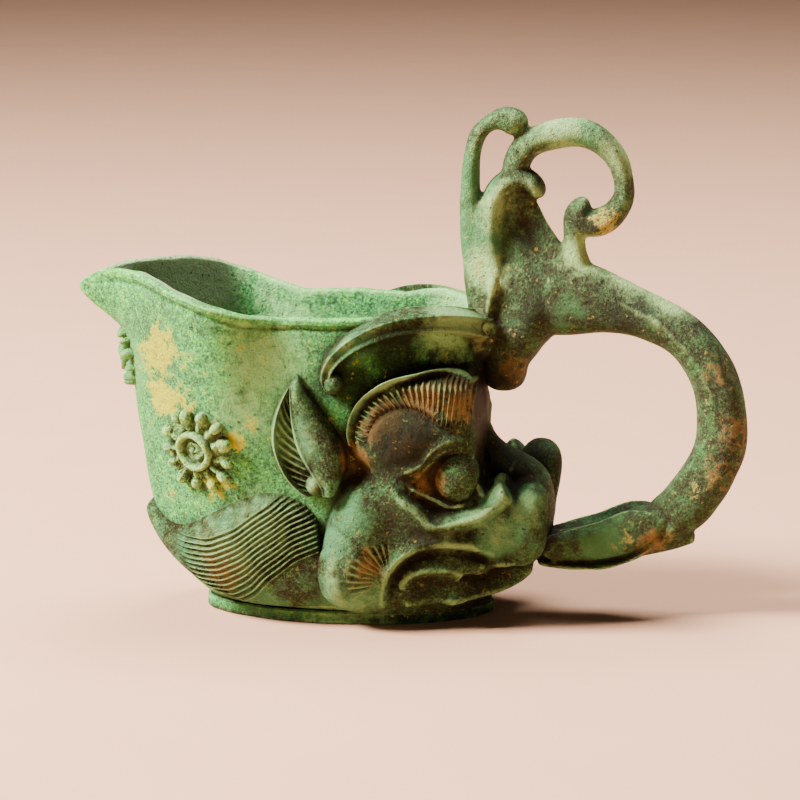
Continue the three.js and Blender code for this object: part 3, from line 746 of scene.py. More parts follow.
@dataclass
class BeastFace:
    """The mask round the bowl's front: cheeks, eye sockets, snout and jaw in one relief.

    The outlines edge, snout and cheek are stations at even steps from the mask's low to its high edge.
    """

    bowl: Bowl
    low: float = 3.0
    high: float = 58.5
    shoulder: float = 14.0
    front_edge: float = 30.0
    front_slope: float = 0.15
    low_brow: float = 41.5
    bridge: float = 8.0
    bridge_edge: float = 1.5
    bridge_from: float = 29.0
    bridge_rise: float = 3.5
    brow_from: float = 33.0
    brow_rise: float = 9.0
    jaw_curve: float = 1.8
    brow_curve: float = 3.4
    jaw_square: float = 2.0
    cheek_rise: float = 7.0
    top_fade: float = 4.5
    sink: float = 0.5
    rear_sink: float = 1.2
    foot_gap: float = 0.1
    play: float = 0.14
    edge_fade: float = 3.0
    crown_fade: float = 2.0
    snout_fade: float = 4.0
    snout_keep: float = 1.5
    flank: float = 0.36
    rows: int = 215
    columns: int = 185
    rear_columns: int = 33
    edge: Sequence[float] = (0.0, -4.6, -5.6, -5.0, -3.6, -1.8, 0.3, 0.8, 0.6, 1.6, 5.0, 12.0)
    snout: Sequence[float] = (31.8, 36.8, 42.4, 45.0, 45.6, 45.4, 43.0, 34.6, 31.2, 30.8, 30.6, 29.6)
    cheek: Sequence[float] = (17.5, 21.0, 22.6, 23.2, 23.4, 23.6, 23.6, 23.4, 23.2, 22.6, 21.8, 20.4)
    strokes: Sequence[Stroke | Mound] = (
        # The swelling under the brow and the groove round it
        Mound((15.6, 43.4), 2.4, (9.2, 7.8), crisp=0.2),
        Stroke(
            ((6.6, 40.6), (7.4, 44.8), (9.8, 48.4), (14.2, 50.1),
             (18.6, 49.2), (22.4, 46.9), (26.4, 45.4)),
            -1.0, 0.9, 1.1,
        ),
        # The eye's socket, the temple and the edge beside the bridge of the nose
        Mound((24.6, 35.0), -3.0, (7.6, 7.0)),
        Mound((5.6, 35.8), -2.8, (5.5, 2.8), tilt=-8.0),
        Stroke(
            ((28.4, 48.0), (28.9, 45.0), (29.4, 42.0), (29.8, 38.4), (30.4, 34.4), (31.2, 31.2)),
            0.8, 0.8, 1.4, fade=0.2,
        ),
        # The two folds of the upper lid, the lower lid and the groove under it
        Stroke(
            ((12.6, 34.6), (15.6, 36.2), (18.9, 38.0), (20.9, 40.6),
             (23.4, 42.6), (26.2, 43.2), (29.4, 43.0)),
            1.3, 1.0, 1.1, fade=0.3,
        ),
        Stroke(
            ((15.0, 33.6), (18.0, 35.2), (20.3, 37.6), (22.4, 40.0), (25.0, 41.2), (28.4, 41.0)),
            0.8, 0.7, 0.7, fade=0.3,
        ),
        Stroke(((16.0, 33.0), (19.0, 31.2), (22.2, 29.8), (25.0, 28.3), (28.6, 28.7)), 0.9, 0.7, 0.9),
        Stroke(((13.6, 32.6), (18.4, 29.8), (22.8, 27.2), (27.4, 27.3), (31.2, 29.2)), -1.2, 1.0, 1.0),
        # The cheekbone and the groove that parts it from the nose
        Stroke(
            ((11.4, 34.0), (16.6, 29.2), (20.4, 25.3), (23.4, 25.0),
             (27.6, 26.0), (31.4, 27.4), (34.0, 30.0), (35.6, 32.8)),
            3.2, 1.6, 2.7,
        ),
        Stroke(((38.6, 32.6), (36.0, 28.4), (32.6, 24.8), (29.0, 22.4), (23.6, 22.6)), -1.1, 1.4, 1.3),
        # The ball of the nose, the cheek and the corner of the jaw
        Mound((37.6, 21.8), 2.4, (7.4, 6.8), crisp=0.2),
        Mound((4.2, 21.0), 2.6, (6.4, 12.5), tilt=-14.0),
        Mound((2.4, 11.8), 2.4, (7.2, 7.6), crisp=0.5),
        # The corner of the mouth: its rim, the deep groove and two folds with a hollow between them
        Stroke(
            ((9.8, 4.4), (10.6, 9.6), (13.0, 15.6), (18.6, 20.0), (26.0, 20.4), (31.8, 18.6)),
            1.4, 1.8, 2.4,
        ),
        Stroke(
            ((11.6, 6.8), (12.8, 12.0), (15.9, 15.8), (19.9, 17.8),
             (25.6, 18.0), (30.0, 16.9), (34.0, 14.0)),
            -2.6, 1.2, 1.7,
        ),
        Stroke(((13.4, 9.4), (15.4, 12.4), (19.2, 14.0), (25.2, 13.8), (28.0, 11.4)), 1.2, 1.2, 1.6),
        Stroke(((14.4, 6.4), (18.0, 6.6), (22.6, 8.4), (27.4, 9.2)), 0.9, 1.1, 1.3),
        Mound((20.4, 10.9), -1.8, (5.4, 2.8)),
        # The gap of the mouth, the lower and the upper lip
        Stroke(((26.8, 12.2), (31.0, 11.0), (36.0, 12.6), (41.0, 14.6)), -2.0, 1.0, 1.1),
        Stroke(((21.8, 7.0), (29.0, 8.4), (34.2, 9.4), (37.9, 10.8), (41.4, 12.6)), 2.3, 1.0, 1.6),
        Stroke(((30.6, 14.6), (35.0, 15.0), (40.6, 15.6)), 1.6, 1.1, 1.0),
    )
    comb_middle: tuple[float, float] = (12.6, 11.6)
    comb_ribs: float = 38.0
    comb_reach: tuple[float, float] = (3.6, 10.4)
    comb_reach_fade: tuple[float, float] = (1.2, 2.0)
    comb_sector: tuple[float, float] = (92.0, 196.0)
    comb_sector_fade: tuple[float, float] = (12.0, 14.0)
    comb_height: float = 0.34
    comb_sink: float = 0.25

    def run(self, stations: Sequence[float], z: Array) -> Array:
        """One of the head's outlines at a height: stations evenly spaced from its low to its high edge."""
        return through(stations, (z - self.low) / (self.high - self.low))

    def depth(self, x: Array, z: Array) -> Array:
        """Half width of the bare head.

        Behind the shoulder the flank swells from the bowl's wall to the cheek. Before it a superellipse,
        cheek * (1 - share^n)^(1/m), rounds the head to the snout; past the face's front edge it is pinched
        to the narrow bridge of the nose. Towards the top it fades into the bowl.

        Args:
            x: places along the cup.
            z: heights.

        Returns:
            The half width at each place.
        """
        cheek, snout, edge = self.run(self.cheek, z), self.run(self.snout, z), self.run(self.edge, z)
        share = np.clip((x - self.shoulder) / (snout - self.shoulder), 0.0, 1.0)
        brow = smooth((z - self.brow_from) / self.brow_rise)
        curve, square = self.jaw_curve + self.brow_curve * brow, self.jaw_square + brow
        head = cheek * (1 - share**curve) ** (1 / square)
        edge_line = self.front_edge + self.front_slope * (self.low_brow - z)
        pinch = smooth((x - edge_line) / self.bridge_edge) * smooth((z - self.bridge_from) / self.bridge_rise)
        bridge = self.bridge * (1 - share**6) ** 0.5
        head = head + (np.minimum(head, bridge) - head) * pinch
        wall = self.bowl.half(x, z)
        rise = smooth((x - edge) / self.cheek_rise) * smooth((self.high - z) / self.top_fade)
        return wall - self.sink + (head - wall + self.sink) * rise

    def ground(self, x: Array, z: Array) -> Array:
        """Places on the near flank of the bare head."""
        return np.stack([x, -self.depth(x, z), z], axis=-1)

    def comb(self, x: Array, z: Array) -> Array:
        """The fan of ribs on the cheek: cosine ribs in direction, inside a window of reach and direction.

        Args:
            x: places along the cup.
            z: heights.

        Returns:
            The relief at each place.
        """
        dx, dz = x - self.comb_middle[0], z - self.comb_middle[1]
        reach = np.hypot(dx, dz)
        turn = np.degrees(np.arctan2(dz, dx)) % 360
        ribs = self.comb_height * np.cos(np.radians(turn) * self.comb_ribs) - self.comb_sink
        ribs = ribs * window(reach, self.comb_reach, self.comb_reach_fade)
        return ribs * window(turn, self.comb_sector, self.comb_sector_fade)

    def skin(self) -> Skin:
        """The mask's skin: near flank, snout and far flank on one grid, its back sunk into the wall.

        Returns:
            The closed skin.
        """
        v, u = grid(self.rows, self.columns)
        z = self.low + (self.high - self.low) * v
        edge, snout = self.run(self.edge, z), self.run(self.snout, z)
        behind = np.clip(u / self.flank, 0, 1)
        before = np.clip((u - self.flank) / (1 - self.flank), 0, 1)
        x = edge + (self.shoulder - edge) * behind + (snout - self.shoulder) * np.sin(before * np.pi / 2)
        near = self.ground(x, z)
        far = near[:, -2::-1] * MIRROR
        bare = np.concatenate([near, far], axis=1)
        shape = relief(self.strokes, x, z) + self.comb(x, z) + self.play * hand(near, 11.0, 1.7)
        shape *= smooth((x - edge) / self.edge_fade) * smooth((self.high - z) / self.crown_fade)
        shape *= smooth((snout - x + self.snout_keep) / self.snout_fade)
        height = np.concatenate([shape, shape[:, -2::-1]], axis=1)
        front = bare + outward(bare) * height[..., None]
        front[..., 2] = np.maximum(front[..., 2], self.bowl.foot_height + self.foot_gap)
        rear_v, rear_u = grid(self.rows, self.rear_columns)
        rear_z = self.low + (self.high - self.low) * rear_v
        start = self.bowl.turn_at(self.run(self.edge, rear_z), rear_z)
        back = self.bowl.wall(start * (1 - 2 * rear_u), rear_z, self.rear_sink)
        return closed_relief(front, back)

    def build(self) -> list[Casting]:
        """The mask's casting."""
        return [pour("beast_face", self.skin(), ["head_mask", "lower_jaw"], Slot.HEAD)]


@dataclass
class Brow:
    """The ribbed fan over the eye, inside a raised bead."""

    face: BeastFace
    ribs: int = 29
    rib_height: float = 0.42
    rib_span: tuple[float, float] = (0.02, 0.9)
    rib_fade: tuple[float, float] = (0.2, 0.06)
    bead_at: float = 0.93
    overlap: float = 0.06
    sink: float = 1.5
    level: float = 0.85
    rows: int = 300
    columns: int = 64
    bead: Sequence[float] = (1.4, 2.0, 2.5, 2.8, 2.8, 2.5, 1.8, 0.9, 0.2)
    inner: Line = (
        (7.4, 39.6), (7.2, 43.2), (8.6, 47.4), (12.2, 49.6), (16.2, 50.0),
        (19.6, 48.6), (22.8, 46.4), (26.0, 45.0), (29.6, 44.4),
    )
    outer: Line = (
        (4.6, 40.6), (4.2, 44.6), (5.6, 49.0), (8.8, 52.8), (13.4, 55.4),
        (18.8, 56.9), (23.4, 57.0), (27.2, 56.0), (29.6, 54.0),
    )

    def skin(self) -> Skin:
        """A ruled fan between the inner and the outer line; the bead is a bell near the outer line.

        Cosine ribs run from the inner line to the bead. The fan is dished under the bead and its edges sink.

        Returns:
            The closed skin.
        """
        b, a = grid(self.rows, self.columns)
        inner, outer = through(self.inner, b), through(self.outer, b)
        place = inner + (outer - inner) * ((1 + 2 * self.overlap) * a - self.overlap)[..., None]
        ground = self.face.ground(place[..., 0], place[..., 1])
        ends = window(b, WHOLE, (0.05, 0.05))
        edge = smooth((1 - a) / 0.05)
        stand = through(self.bead, b)
        bead = bell((a - self.bead_at) / np.where(a > self.bead_at, 0.035, 0.05))
        rib = np.cos(2 * np.pi * self.ribs * b) * window(a, self.rib_span, self.rib_fade)
        dish = 0.2 + 0.45 * stand * a**2 - 0.4 * stand * bell((a - 0.84) / 0.08)
        height = (dish + self.rib_height * rib) * edge + stand * bead
        height = height * (0.1 + 0.9 * ends) - 0.8 * (1 - edge) - 0.6 * (1 - ends)
        height = height - 0.35 * (1 - smooth(a / 0.08))
        return plate(ground, height, self.sink, self.level)


def ball(middle: Sequence[float], radius: Sequence[float], yaw: float = 0.0) -> Skin:
    """An ellipsoid of rings (sin p cos t, -cos p, sin p sin t) about the y axis, turned about the vertical.

    Args:
        middle: its middle.
        radius: half length, half width and half height.
        yaw: turn about the vertical in degrees.

    Returns:
        The closed skin.
    """
    rings, sides, play = 60, 90, 0.1
    tilt = np.linspace(POLE, np.pi - POLE, rings)[:, None]
    turn = np.linspace(0, 2 * np.pi, sides, endpoint=False)[None]
    parts = (np.sin(tilt) * np.cos(turn), -np.cos(tilt), np.sin(tilt) * np.sin(turn))
    shape = np.stack(np.broadcast_arrays(*parts), axis=-1)
    cos, sin = np.cos(np.radians(yaw)), np.sin(np.radians(yaw))
    spin = np.array([[cos, sin, 0.0], [-sin, cos, 0.0], [0.0, 0.0, 1.0]])
    points = np.array(middle) + shape * np.array(radius) @ spin
    return closed_tube(points + shape @ spin * (play * hand(points, 6.0, 0.9))[..., None])


@dataclass
class Eye:
    """The eyeball: an egg whose rear end sinks into the socket."""

    middle: tuple[float, float, float] = (25.6, -18.2, 35.0)
    radius: tuple[float, float, float] = (5.2, 5.4, 6.2)
    yaw: float = -12.0

    def skin(self) -> Skin:
        """The egg's skin."""
        return ball(self.middle, self.radius, self.yaw)


@dataclass
class Ear:
    """The leaf-shaped ear: a ribbed hollow behind a fold and a smooth swelling before it."""

    bowl: Bowl
    ribs: int = 15
    rib_height: float = 0.36
    rib_span: tuple[float, float] = (0.1, 0.47)
    rib_fade: tuple[float, float] = (0.05, 0.06)
    proud: float = 5.0
    sink: float = 1.2
    level: float = 41.0
    rows: int = 150
    columns: int = 110
    knob: tuple[float, float, float] = (-4.4, -23.6, 33.0)
    knob_radius: tuple[float, float, float] = (1.9, 2.3, 2.3)
    left: Line = (
        (-6.0, 29.8), (-9.4, 31.0), (-12.4, 34.4), (-14.2, 39.6),
        (-14.0, 45.0), (-11.8, 50.6), (-8.6, 55.0), (-7.4, 57.0),
    )
    fold: Line = (
        (-3.4, 29.6), (-3.7, 32.6), (-5.6, 36.4), (-7.4, 40.6),
        (-8.4, 45.4), (-8.7, 50.2), (-8.4, 54.6), (-7.3, 57.1),
    )
    right: Line = (
        (-1.4, 30.0), (0.6, 32.2), (2.4, 35.8), (2.8, 40.0),
        (1.2, 44.0), (-2.0, 48.8), (-5.4, 53.4), (-7.1, 57.0),
    )

    def skin(self) -> Skin:
        """Rows from the knob to the tip; each row runs from the left edge over the fold to the right edge.

        Behind the fold lies a hollow with cosine ribs and a bead on its edge, before it half a sine wave.

        Returns:
            The closed skin.
        """
        b, a = grid(self.rows, self.columns)
        left, fold, right = through(self.left, b), through(self.fold, b), through(self.right, b)
        behind, before = np.clip(a / 0.5, 0, 1), np.clip((a - 0.5) / 0.5, 0, 1)
        place = left + (fold - left) * behind[..., None] + (right - fold) * before[..., None]
        x, z = place[..., 0], place[..., 1]
        ground = self.bowl.flank(x, z, self.level)
        climb = (self.proud - 2.0) * smooth((a - 0.4) / 0.1) ** 1.3
        hollow = 1.5 * bell((a - 0.06) / 0.045) + 1.5 + climb
        rib = self.rib_height * np.cos(2 * np.pi * self.ribs * (b + 0.45 * a))
        rib = rib * window(a, self.rib_span, self.rib_fade)
        swell = self.proud * (0.92 + 0.34 * np.sin(np.pi * before) - 0.3 * smooth(before))
        height = np.where(a < 0.5, hollow + rib, swell) + 0.7 * bell((a - 0.5) / 0.04)
        edge = window(a, WHOLE, (0.05, 0.16)) * window(b, WHOLE, (0.08, 0.14))
        leaf = plate(ground, height * edge - 0.6 * (1 - edge), self.sink)
        return merged([leaf, ball(self.knob, self.knob_radius)])


@dataclass
class Horn:
    """The horn: a broad band that runs back under the rim from the handle's root and curls up at its end."""

    bowl: Bowl
    line: Line = (
        (33.0, 63.0), (25.5, 66.9), (18.0, 68.0), (10.4, 67.0), (4.0, 64.2),
        (0.2, 61.2), (-1.9, 58.4), (-2.6, 55.6), (-1.8, 53.6), (-0.4, 53.6),
    )
    half_width: Sequence[float] = (3.4, 3.2, 3.0, 2.8, 2.4, 2.0, 1.7, 1.5, 1.3, 1.2)
    proud: float = 4.3
    sink: float = 1.0
    level: float = 60.0
    knob_at: tuple[float, float] = (-0.6, 55.0)
    knob_proud: float = 1.4
    knob_radius: tuple[float, float, float] = (2.3, 2.2, 2.4)
    rows: int = 260
    columns: int = 60

    def skin(self) -> Skin:
        """A band across the line: steep below, sloping above, with a ball inside the curled end.

        Two bells along the band make its rounded edges, and it grows flatter towards the curl.

        Returns:
            The closed skin.
        """
        b, a = grid(self.rows, self.columns)
        middle = through(self.line, b)
        run = unit(np.gradient(middle, axis=0))
        spread = (2 * a - 1) * through(self.half_width, b)
        x = middle[..., 0] + run[..., 1] * spread
        z = middle[..., 1] - run[..., 0] * spread
        ground = self.bowl.flank(x, z, self.level)
        sides = window(a, WHOLE, (0.2, 0.26))
        body = 0.8 + 0.06 * np.sin(np.pi * a)
        body = body + 0.16 * bell((a - 0.22) / 0.12) + 0.14 * bell((a - 0.74) / 0.13)
        ends = dome(1 - np.minimum(1, (1 - b) / 0.05)) * smooth(b / 0.02)
        flat = 0.92 - 0.32 * smooth((b - 0.45) / 0.5)
        band = plate(ground, self.proud * flat * body * sides * ends - 0.7 * (1 - sides), self.sink)
        knob_x, knob_z = self.knob_at
        knob_y = -float(self.bowl.half(np.array(knob_x), np.array(knob_z))) - self.knob_proud
        return merged([band, ball((knob_x, knob_y, knob_z), self.knob_radius)])


@dataclass
class Mane:
    """The lock of hair that sweeps back from the cheek in a shallow S, cut into fine strands."""

    bowl: Bowl
    pitch: float = 1.12
    strands: tuple[float, float] = (3.6, 18.2)
    strand_end: float = -36.0
    proud: float = 4.25
    sink: float = 1.0
    lowest: float = 3.3
    level: float = 15.0
    tip: float = -42.0
    length: float = 40.0
    rows: int = 220
    columns: int = 150
    sweep: Sequence[float] = (3.5, 1.0, 0.0, 0.4, 2.2, 5.4, 8.8, 11.6, 13.2)
    top: Line = (
        (-2.0, 25.0), (-5.0, 29.0), (-10.0, 31.2), (-16.0, 30.4), (-22.0, 27.4),
        (-28.0, 23.8), (-34.0, 21.0), (-38.4, 21.8), (-41.4, 24.6),
    )
    low: Line = (
        (-2.6, 4.4), (-6.0, 4.0), (-12.0, 3.8), (-19.0, 3.8), (-26.0, 4.2),
        (-32.0, 6.2), (-36.6, 10.4), (-39.8, 15.6), (-41.8, 23.0),
    )

    def skin(self) -> Skin:
        """Rows from the cheek to the tip; each row runs from the low to the top edge with cut strands.

        The strands are counted upwards from the sweep, one for every pitch, and have pointed crests.

        Returns:
            The closed skin.
        """
        b, a = grid(self.rows, self.columns)
        low, top = through(self.low, b), through(self.top, b)
        place = low + (top - low) * a[..., None]
        x, z = place[..., 0], np.maximum(place[..., 1], self.lowest)
        ground = self.bowl.flank(x, z, self.level)
        body = dome(2 * np.clip(a, 0.02, 0.9) / 0.92 - 1) ** 0.8
        body = body * (1 - 0.45 * smooth((b - 0.4) / 0.6)) * (0.72 + 0.28 * smooth((b - 0.02) / 0.3))
        sweep = through(self.sweep, (x - self.tip) / self.length)
        count = (z - sweep) / self.pitch + 0.08 * np.sin(0.9 * x)
        crest = 1 - 2 * np.abs((count % 1.0) - 0.5)
        cut = window(count, self.strands, (1.6, 1.2))
        strand = (crest**1.5 - 0.6) * cut * smooth((x - self.strand_end) / 5.0)
        edge = window(a, WHOLE, (0.05, 0.14)) * window(b, WHOLE, (0.06, 0.05))
        height = (self.proud * body + strand) * edge - 0.5 * (1 - edge)
        return plate(ground, height, self.sink)


@dataclass
class Nostril:
    """The flared wing of the nose, the knob in which the cheekbone ends and the bridge between the wings."""

    wing: Limb
    knob: Limb
    bridge: Limb

    @staticmethod
    def modelled(lift: float, swell: float) -> "Nostril":
        """The nostril's rods on the near flank.

        Args:
            lift: how much higher the tops are than on the near flank.
            swell: how much fuller the top of the wing is.

        Returns:
            The nostril.
        """
        wing = Limb(
            ((33.4, 16.6), (37.6, 19.4), (39.8, 24.4), (41.6, 28.8 + lift * 0.6), (42.0, 32.4 + lift)),
            (4.0, 7.0, 5.8, 3.9 + swell, 2.5 + swell),
            (3.4, 5.6, 5.8, 4.6, 3.4),
            y=-12.8,
            ends=(0.3, 0.2),
        )
        knob = Limb(
            (
                (27.6, 25.4), (31.2, 26.5), (34.0, 28.7 + lift / 3),
                (35.9, 30.7 + lift / 2), (37.0, 31.5 + lift * 0.6),
            ),
            (1.4, 2.3, 2.7, 2.8, 2.5),
            (2.8, 3.6, 4.0, 4.0, 3.4),
            y=-17.4,
            ends=(0.2, 0.15),
        )
        bridge = Limb(
            ((30.0, 26.4), (35.0, 26.2 + lift / 3), (40.0, 25.4 + lift / 2), (43.0, 23.4 + lift / 2)),
            (3.0, 3.4, 3.6, 3.0),
            (6.0, 6.0, 5.6, 4.6),
            y=-5.0,
            ends=(0.2, 0.3),
        )
        return Nostril(wing, knob, bridge)

    def skin(self) -> Skin:
        """All three rods in one mesh."""
        return merged([self.wing.skin(70, 60), self.knob.skin(60, 36), self.bridge.skin(50, 36)])


@dataclass
class BeastHead:
    """All pieces of the head that stand on the mask or on the bowl's flanks."""

    bowl: Bowl
    face: BeastFace
    left_lift: float = 4.4
    left_swell: float = 1.1
    voxel: float = 0.4
    fairing: int = 6

    def build(self) -> list[Casting]:
        """The castings of both flanks; the left one mirrors the right one, apart from the nostril.

        Returns:
            The castings.
        """
        skins = {
            "brow": Brow(self.face).skin(),
            "eye": Eye().skin(),
            "ear": Ear(self.bowl).skin(),
            "horn": Horn(self.bowl).skin(),
            "mane": Mane(self.bowl).skin(),
        }
        castings = []
        for name, skin in skins.items():
            castings.append(pour(f"{name}_right", skin, [f"right_{name}"], Slot.HEAD))
            castings.append(pour(f"{name}_left", skin.mirrored(), [f"left_{name}"], Slot.HEAD))
        near = Nostril.modelled(0.0, 0.0).skin()
        far = Nostril.modelled(self.left_lift, self.left_swell).skin().mirrored()
        for side, skin in (("right", near), ("left", far)):
            nostril = pour(f"nostril_{side}", skin, [f"{side}_nostril"], Slot.HEAD)
            fuse(nostril, self.voxel, self.fairing)
            castings.append(nostril)
        return castings


# The rosettes


@dataclass
class Rosette:
    """A ring of knobbed petals round a bored boss, on the bowl's wall."""

    bowl: Bowl
    turn: float
    height: float
    radius: float = 9.8
    petals: int = 13
    proud: float = 2.3
    sink: float = 0.9
    hub: float = 0.03
    knob_at: float = 0.81
    knob_length: float = 0.165
    knob_width: float = 0.125
    spoke_width: float = 0.09
    boss: float = 0.47
    boss_proud: float = 1.9
    boss_sink: float = 0.8
    rows: int = 56
    petal_columns: int = 26
    boss_rows: int = 60
    boss_columns: int = 160

    def spot(self, reach: Array, direction: Array) -> Array:
        """Places on the wall at a distance and direction from the rosette's middle.

        The wall is unrolled there: the turn changes by distance * cos(direction) / (length per turn).

        Args:
            reach: distances from the middle.
            direction: directions in radians, 0 along the turn.

        Returns:
            Places on the wall.
        """
        step = 1e-3
        height = np.array(self.height)
        ends = self.bowl.wall(np.array([self.turn - step, self.turn + step]), height)
        speed = np.linalg.norm(ends[1] - ends[0]) / (2 * step)
        turn = self.turn + reach * np.cos(direction) / speed
        return self.bowl.wall(turn, self.height + reach * np.sin(direction))

    def petal_skin(self) -> Skin:
        """Petals: a knob on each of the evenly spaced directions, joined inwards by a low spoke.

        Sine waves in the direction make the petals uneven, and a bell cuts a small curl beside each knob.

        Returns:
            The closed skin.
        """
        v, u = grid(self.rows, self.petal_columns * self.petals)
        reach = self.radius * (self.hub + (1 - self.hub) * v)
        direction = 2 * np.pi * u
        sway = 0.05 * np.sin(3 * direction + 1) + 0.04 * np.sin(5 * direction)
        petal = self.petals * (direction + sway) / (2 * np.pi)
        off = (petal + 0.5) % 1.0 - 0.5
        own = np.floor(petal + 0.5)
        size = 1 + 0.16 * np.sin(own * 2.4 + 0.6)
        arc = off * 2 * np.pi / self.petals * reach
        knob_reach = self.knob_at * self.radius * (1 + 0.05 * np.sin(own * 1.7))
        along = (reach - knob_reach) / (self.knob_length * self.radius * size)
        across = arc / (self.knob_width * self.radius * size)
        knob = dome(np.hypot(along, across)) ** 0.8
        curl = 0.3 * bell((arc - 0.3) / 0.32) * bell((reach - knob_reach + 0.9) / 0.8)
        spoke = 0.55 * bell(arc / (self.spoke_width * self.radius))
        spoke = spoke * smooth((reach / self.radius - 0.42) / 0.1) * smooth((0.9 - v) / 0.2)
        disc = 0.35 * smooth((0.74 - v) / 0.16)
        height = self.proud * size * (np.maximum(knob, spoke) + 0.25 * disc) - curl
        height = height - 0.5 * smooth((v - 0.9) / 0.1)
        return plate(self.spot(reach, direction), height, self.sink)

    def boss_skin(self) -> Skin:
        """The boss: a rounded ring round a hollow with rough lumps in it.

        Returns:
            The closed skin.
        """
        v, u = grid(self.boss_rows, self.boss_columns)
        reach = self.boss * self.radius * (self.hub + (1 - self.hub) * v)
        direction = 2 * np.pi * u
        ring = self.boss_proud * dome((v - 0.8) / 0.18) ** 0.8
        ring = ring * (1 + 0.08 * np.sin(3 * direction + 0.5))
        lumps = 0.4 * np.sin(2.2 * direction + 5 * v) * np.sin(9 * v + 1) * smooth((0.6 - v) / 0.2)
        lumps = lumps + 0.5 * smooth((0.6 - v) / 0.3)
        height = 0.5 + ring + lumps - 0.9 * smooth((v - 0.94) / 0.06)
        return plate(self.spot(reach, direction), height, self.boss_sink)


@dataclass
class Rosettes:
    """The three rosettes: one on each flank and one under the spout."""

    bowl: Bowl
    flank_x: float = -30.9
    flank_height: float = 39.1
    front_height: float = 56.1
    front_radius: float = 7.0

    def build(self) -> list[Casting]:
        """The castings of the petals and the bosses.

        Returns:
            The castings.
        """
        turn = float(self.bowl.turn_at(np.array(self.flank_x), np.array(self.flank_height)))
        flank = Rosette(self.bowl, turn, self.flank_height)
        front = Rosette(self.bowl, np.pi, self.front_height, self.front_radius)
        petals, boss = flank.petal_skin(), flank.boss_skin()
        return [
            pour("rosette_right", petals, ["right_rosette"], Slot.GILT),
            pour("rosette_left", petals.mirrored(), ["left_rosette"], Slot.GILT),
            pour("rosette_boss_right", boss, ["right_rosette_boss"], Slot.GILT),
            pour("rosette_boss_left", boss.mirrored(), ["left_rosette_boss"], Slot.GILT),
            pour("rosette_front", front.petal_skin(), ["front_rosette"], Slot.GILT),
            pour("rosette_boss_front", front.boss_skin(), ["front_rosette_boss"], Slot.GILT),
        ]


# The handle


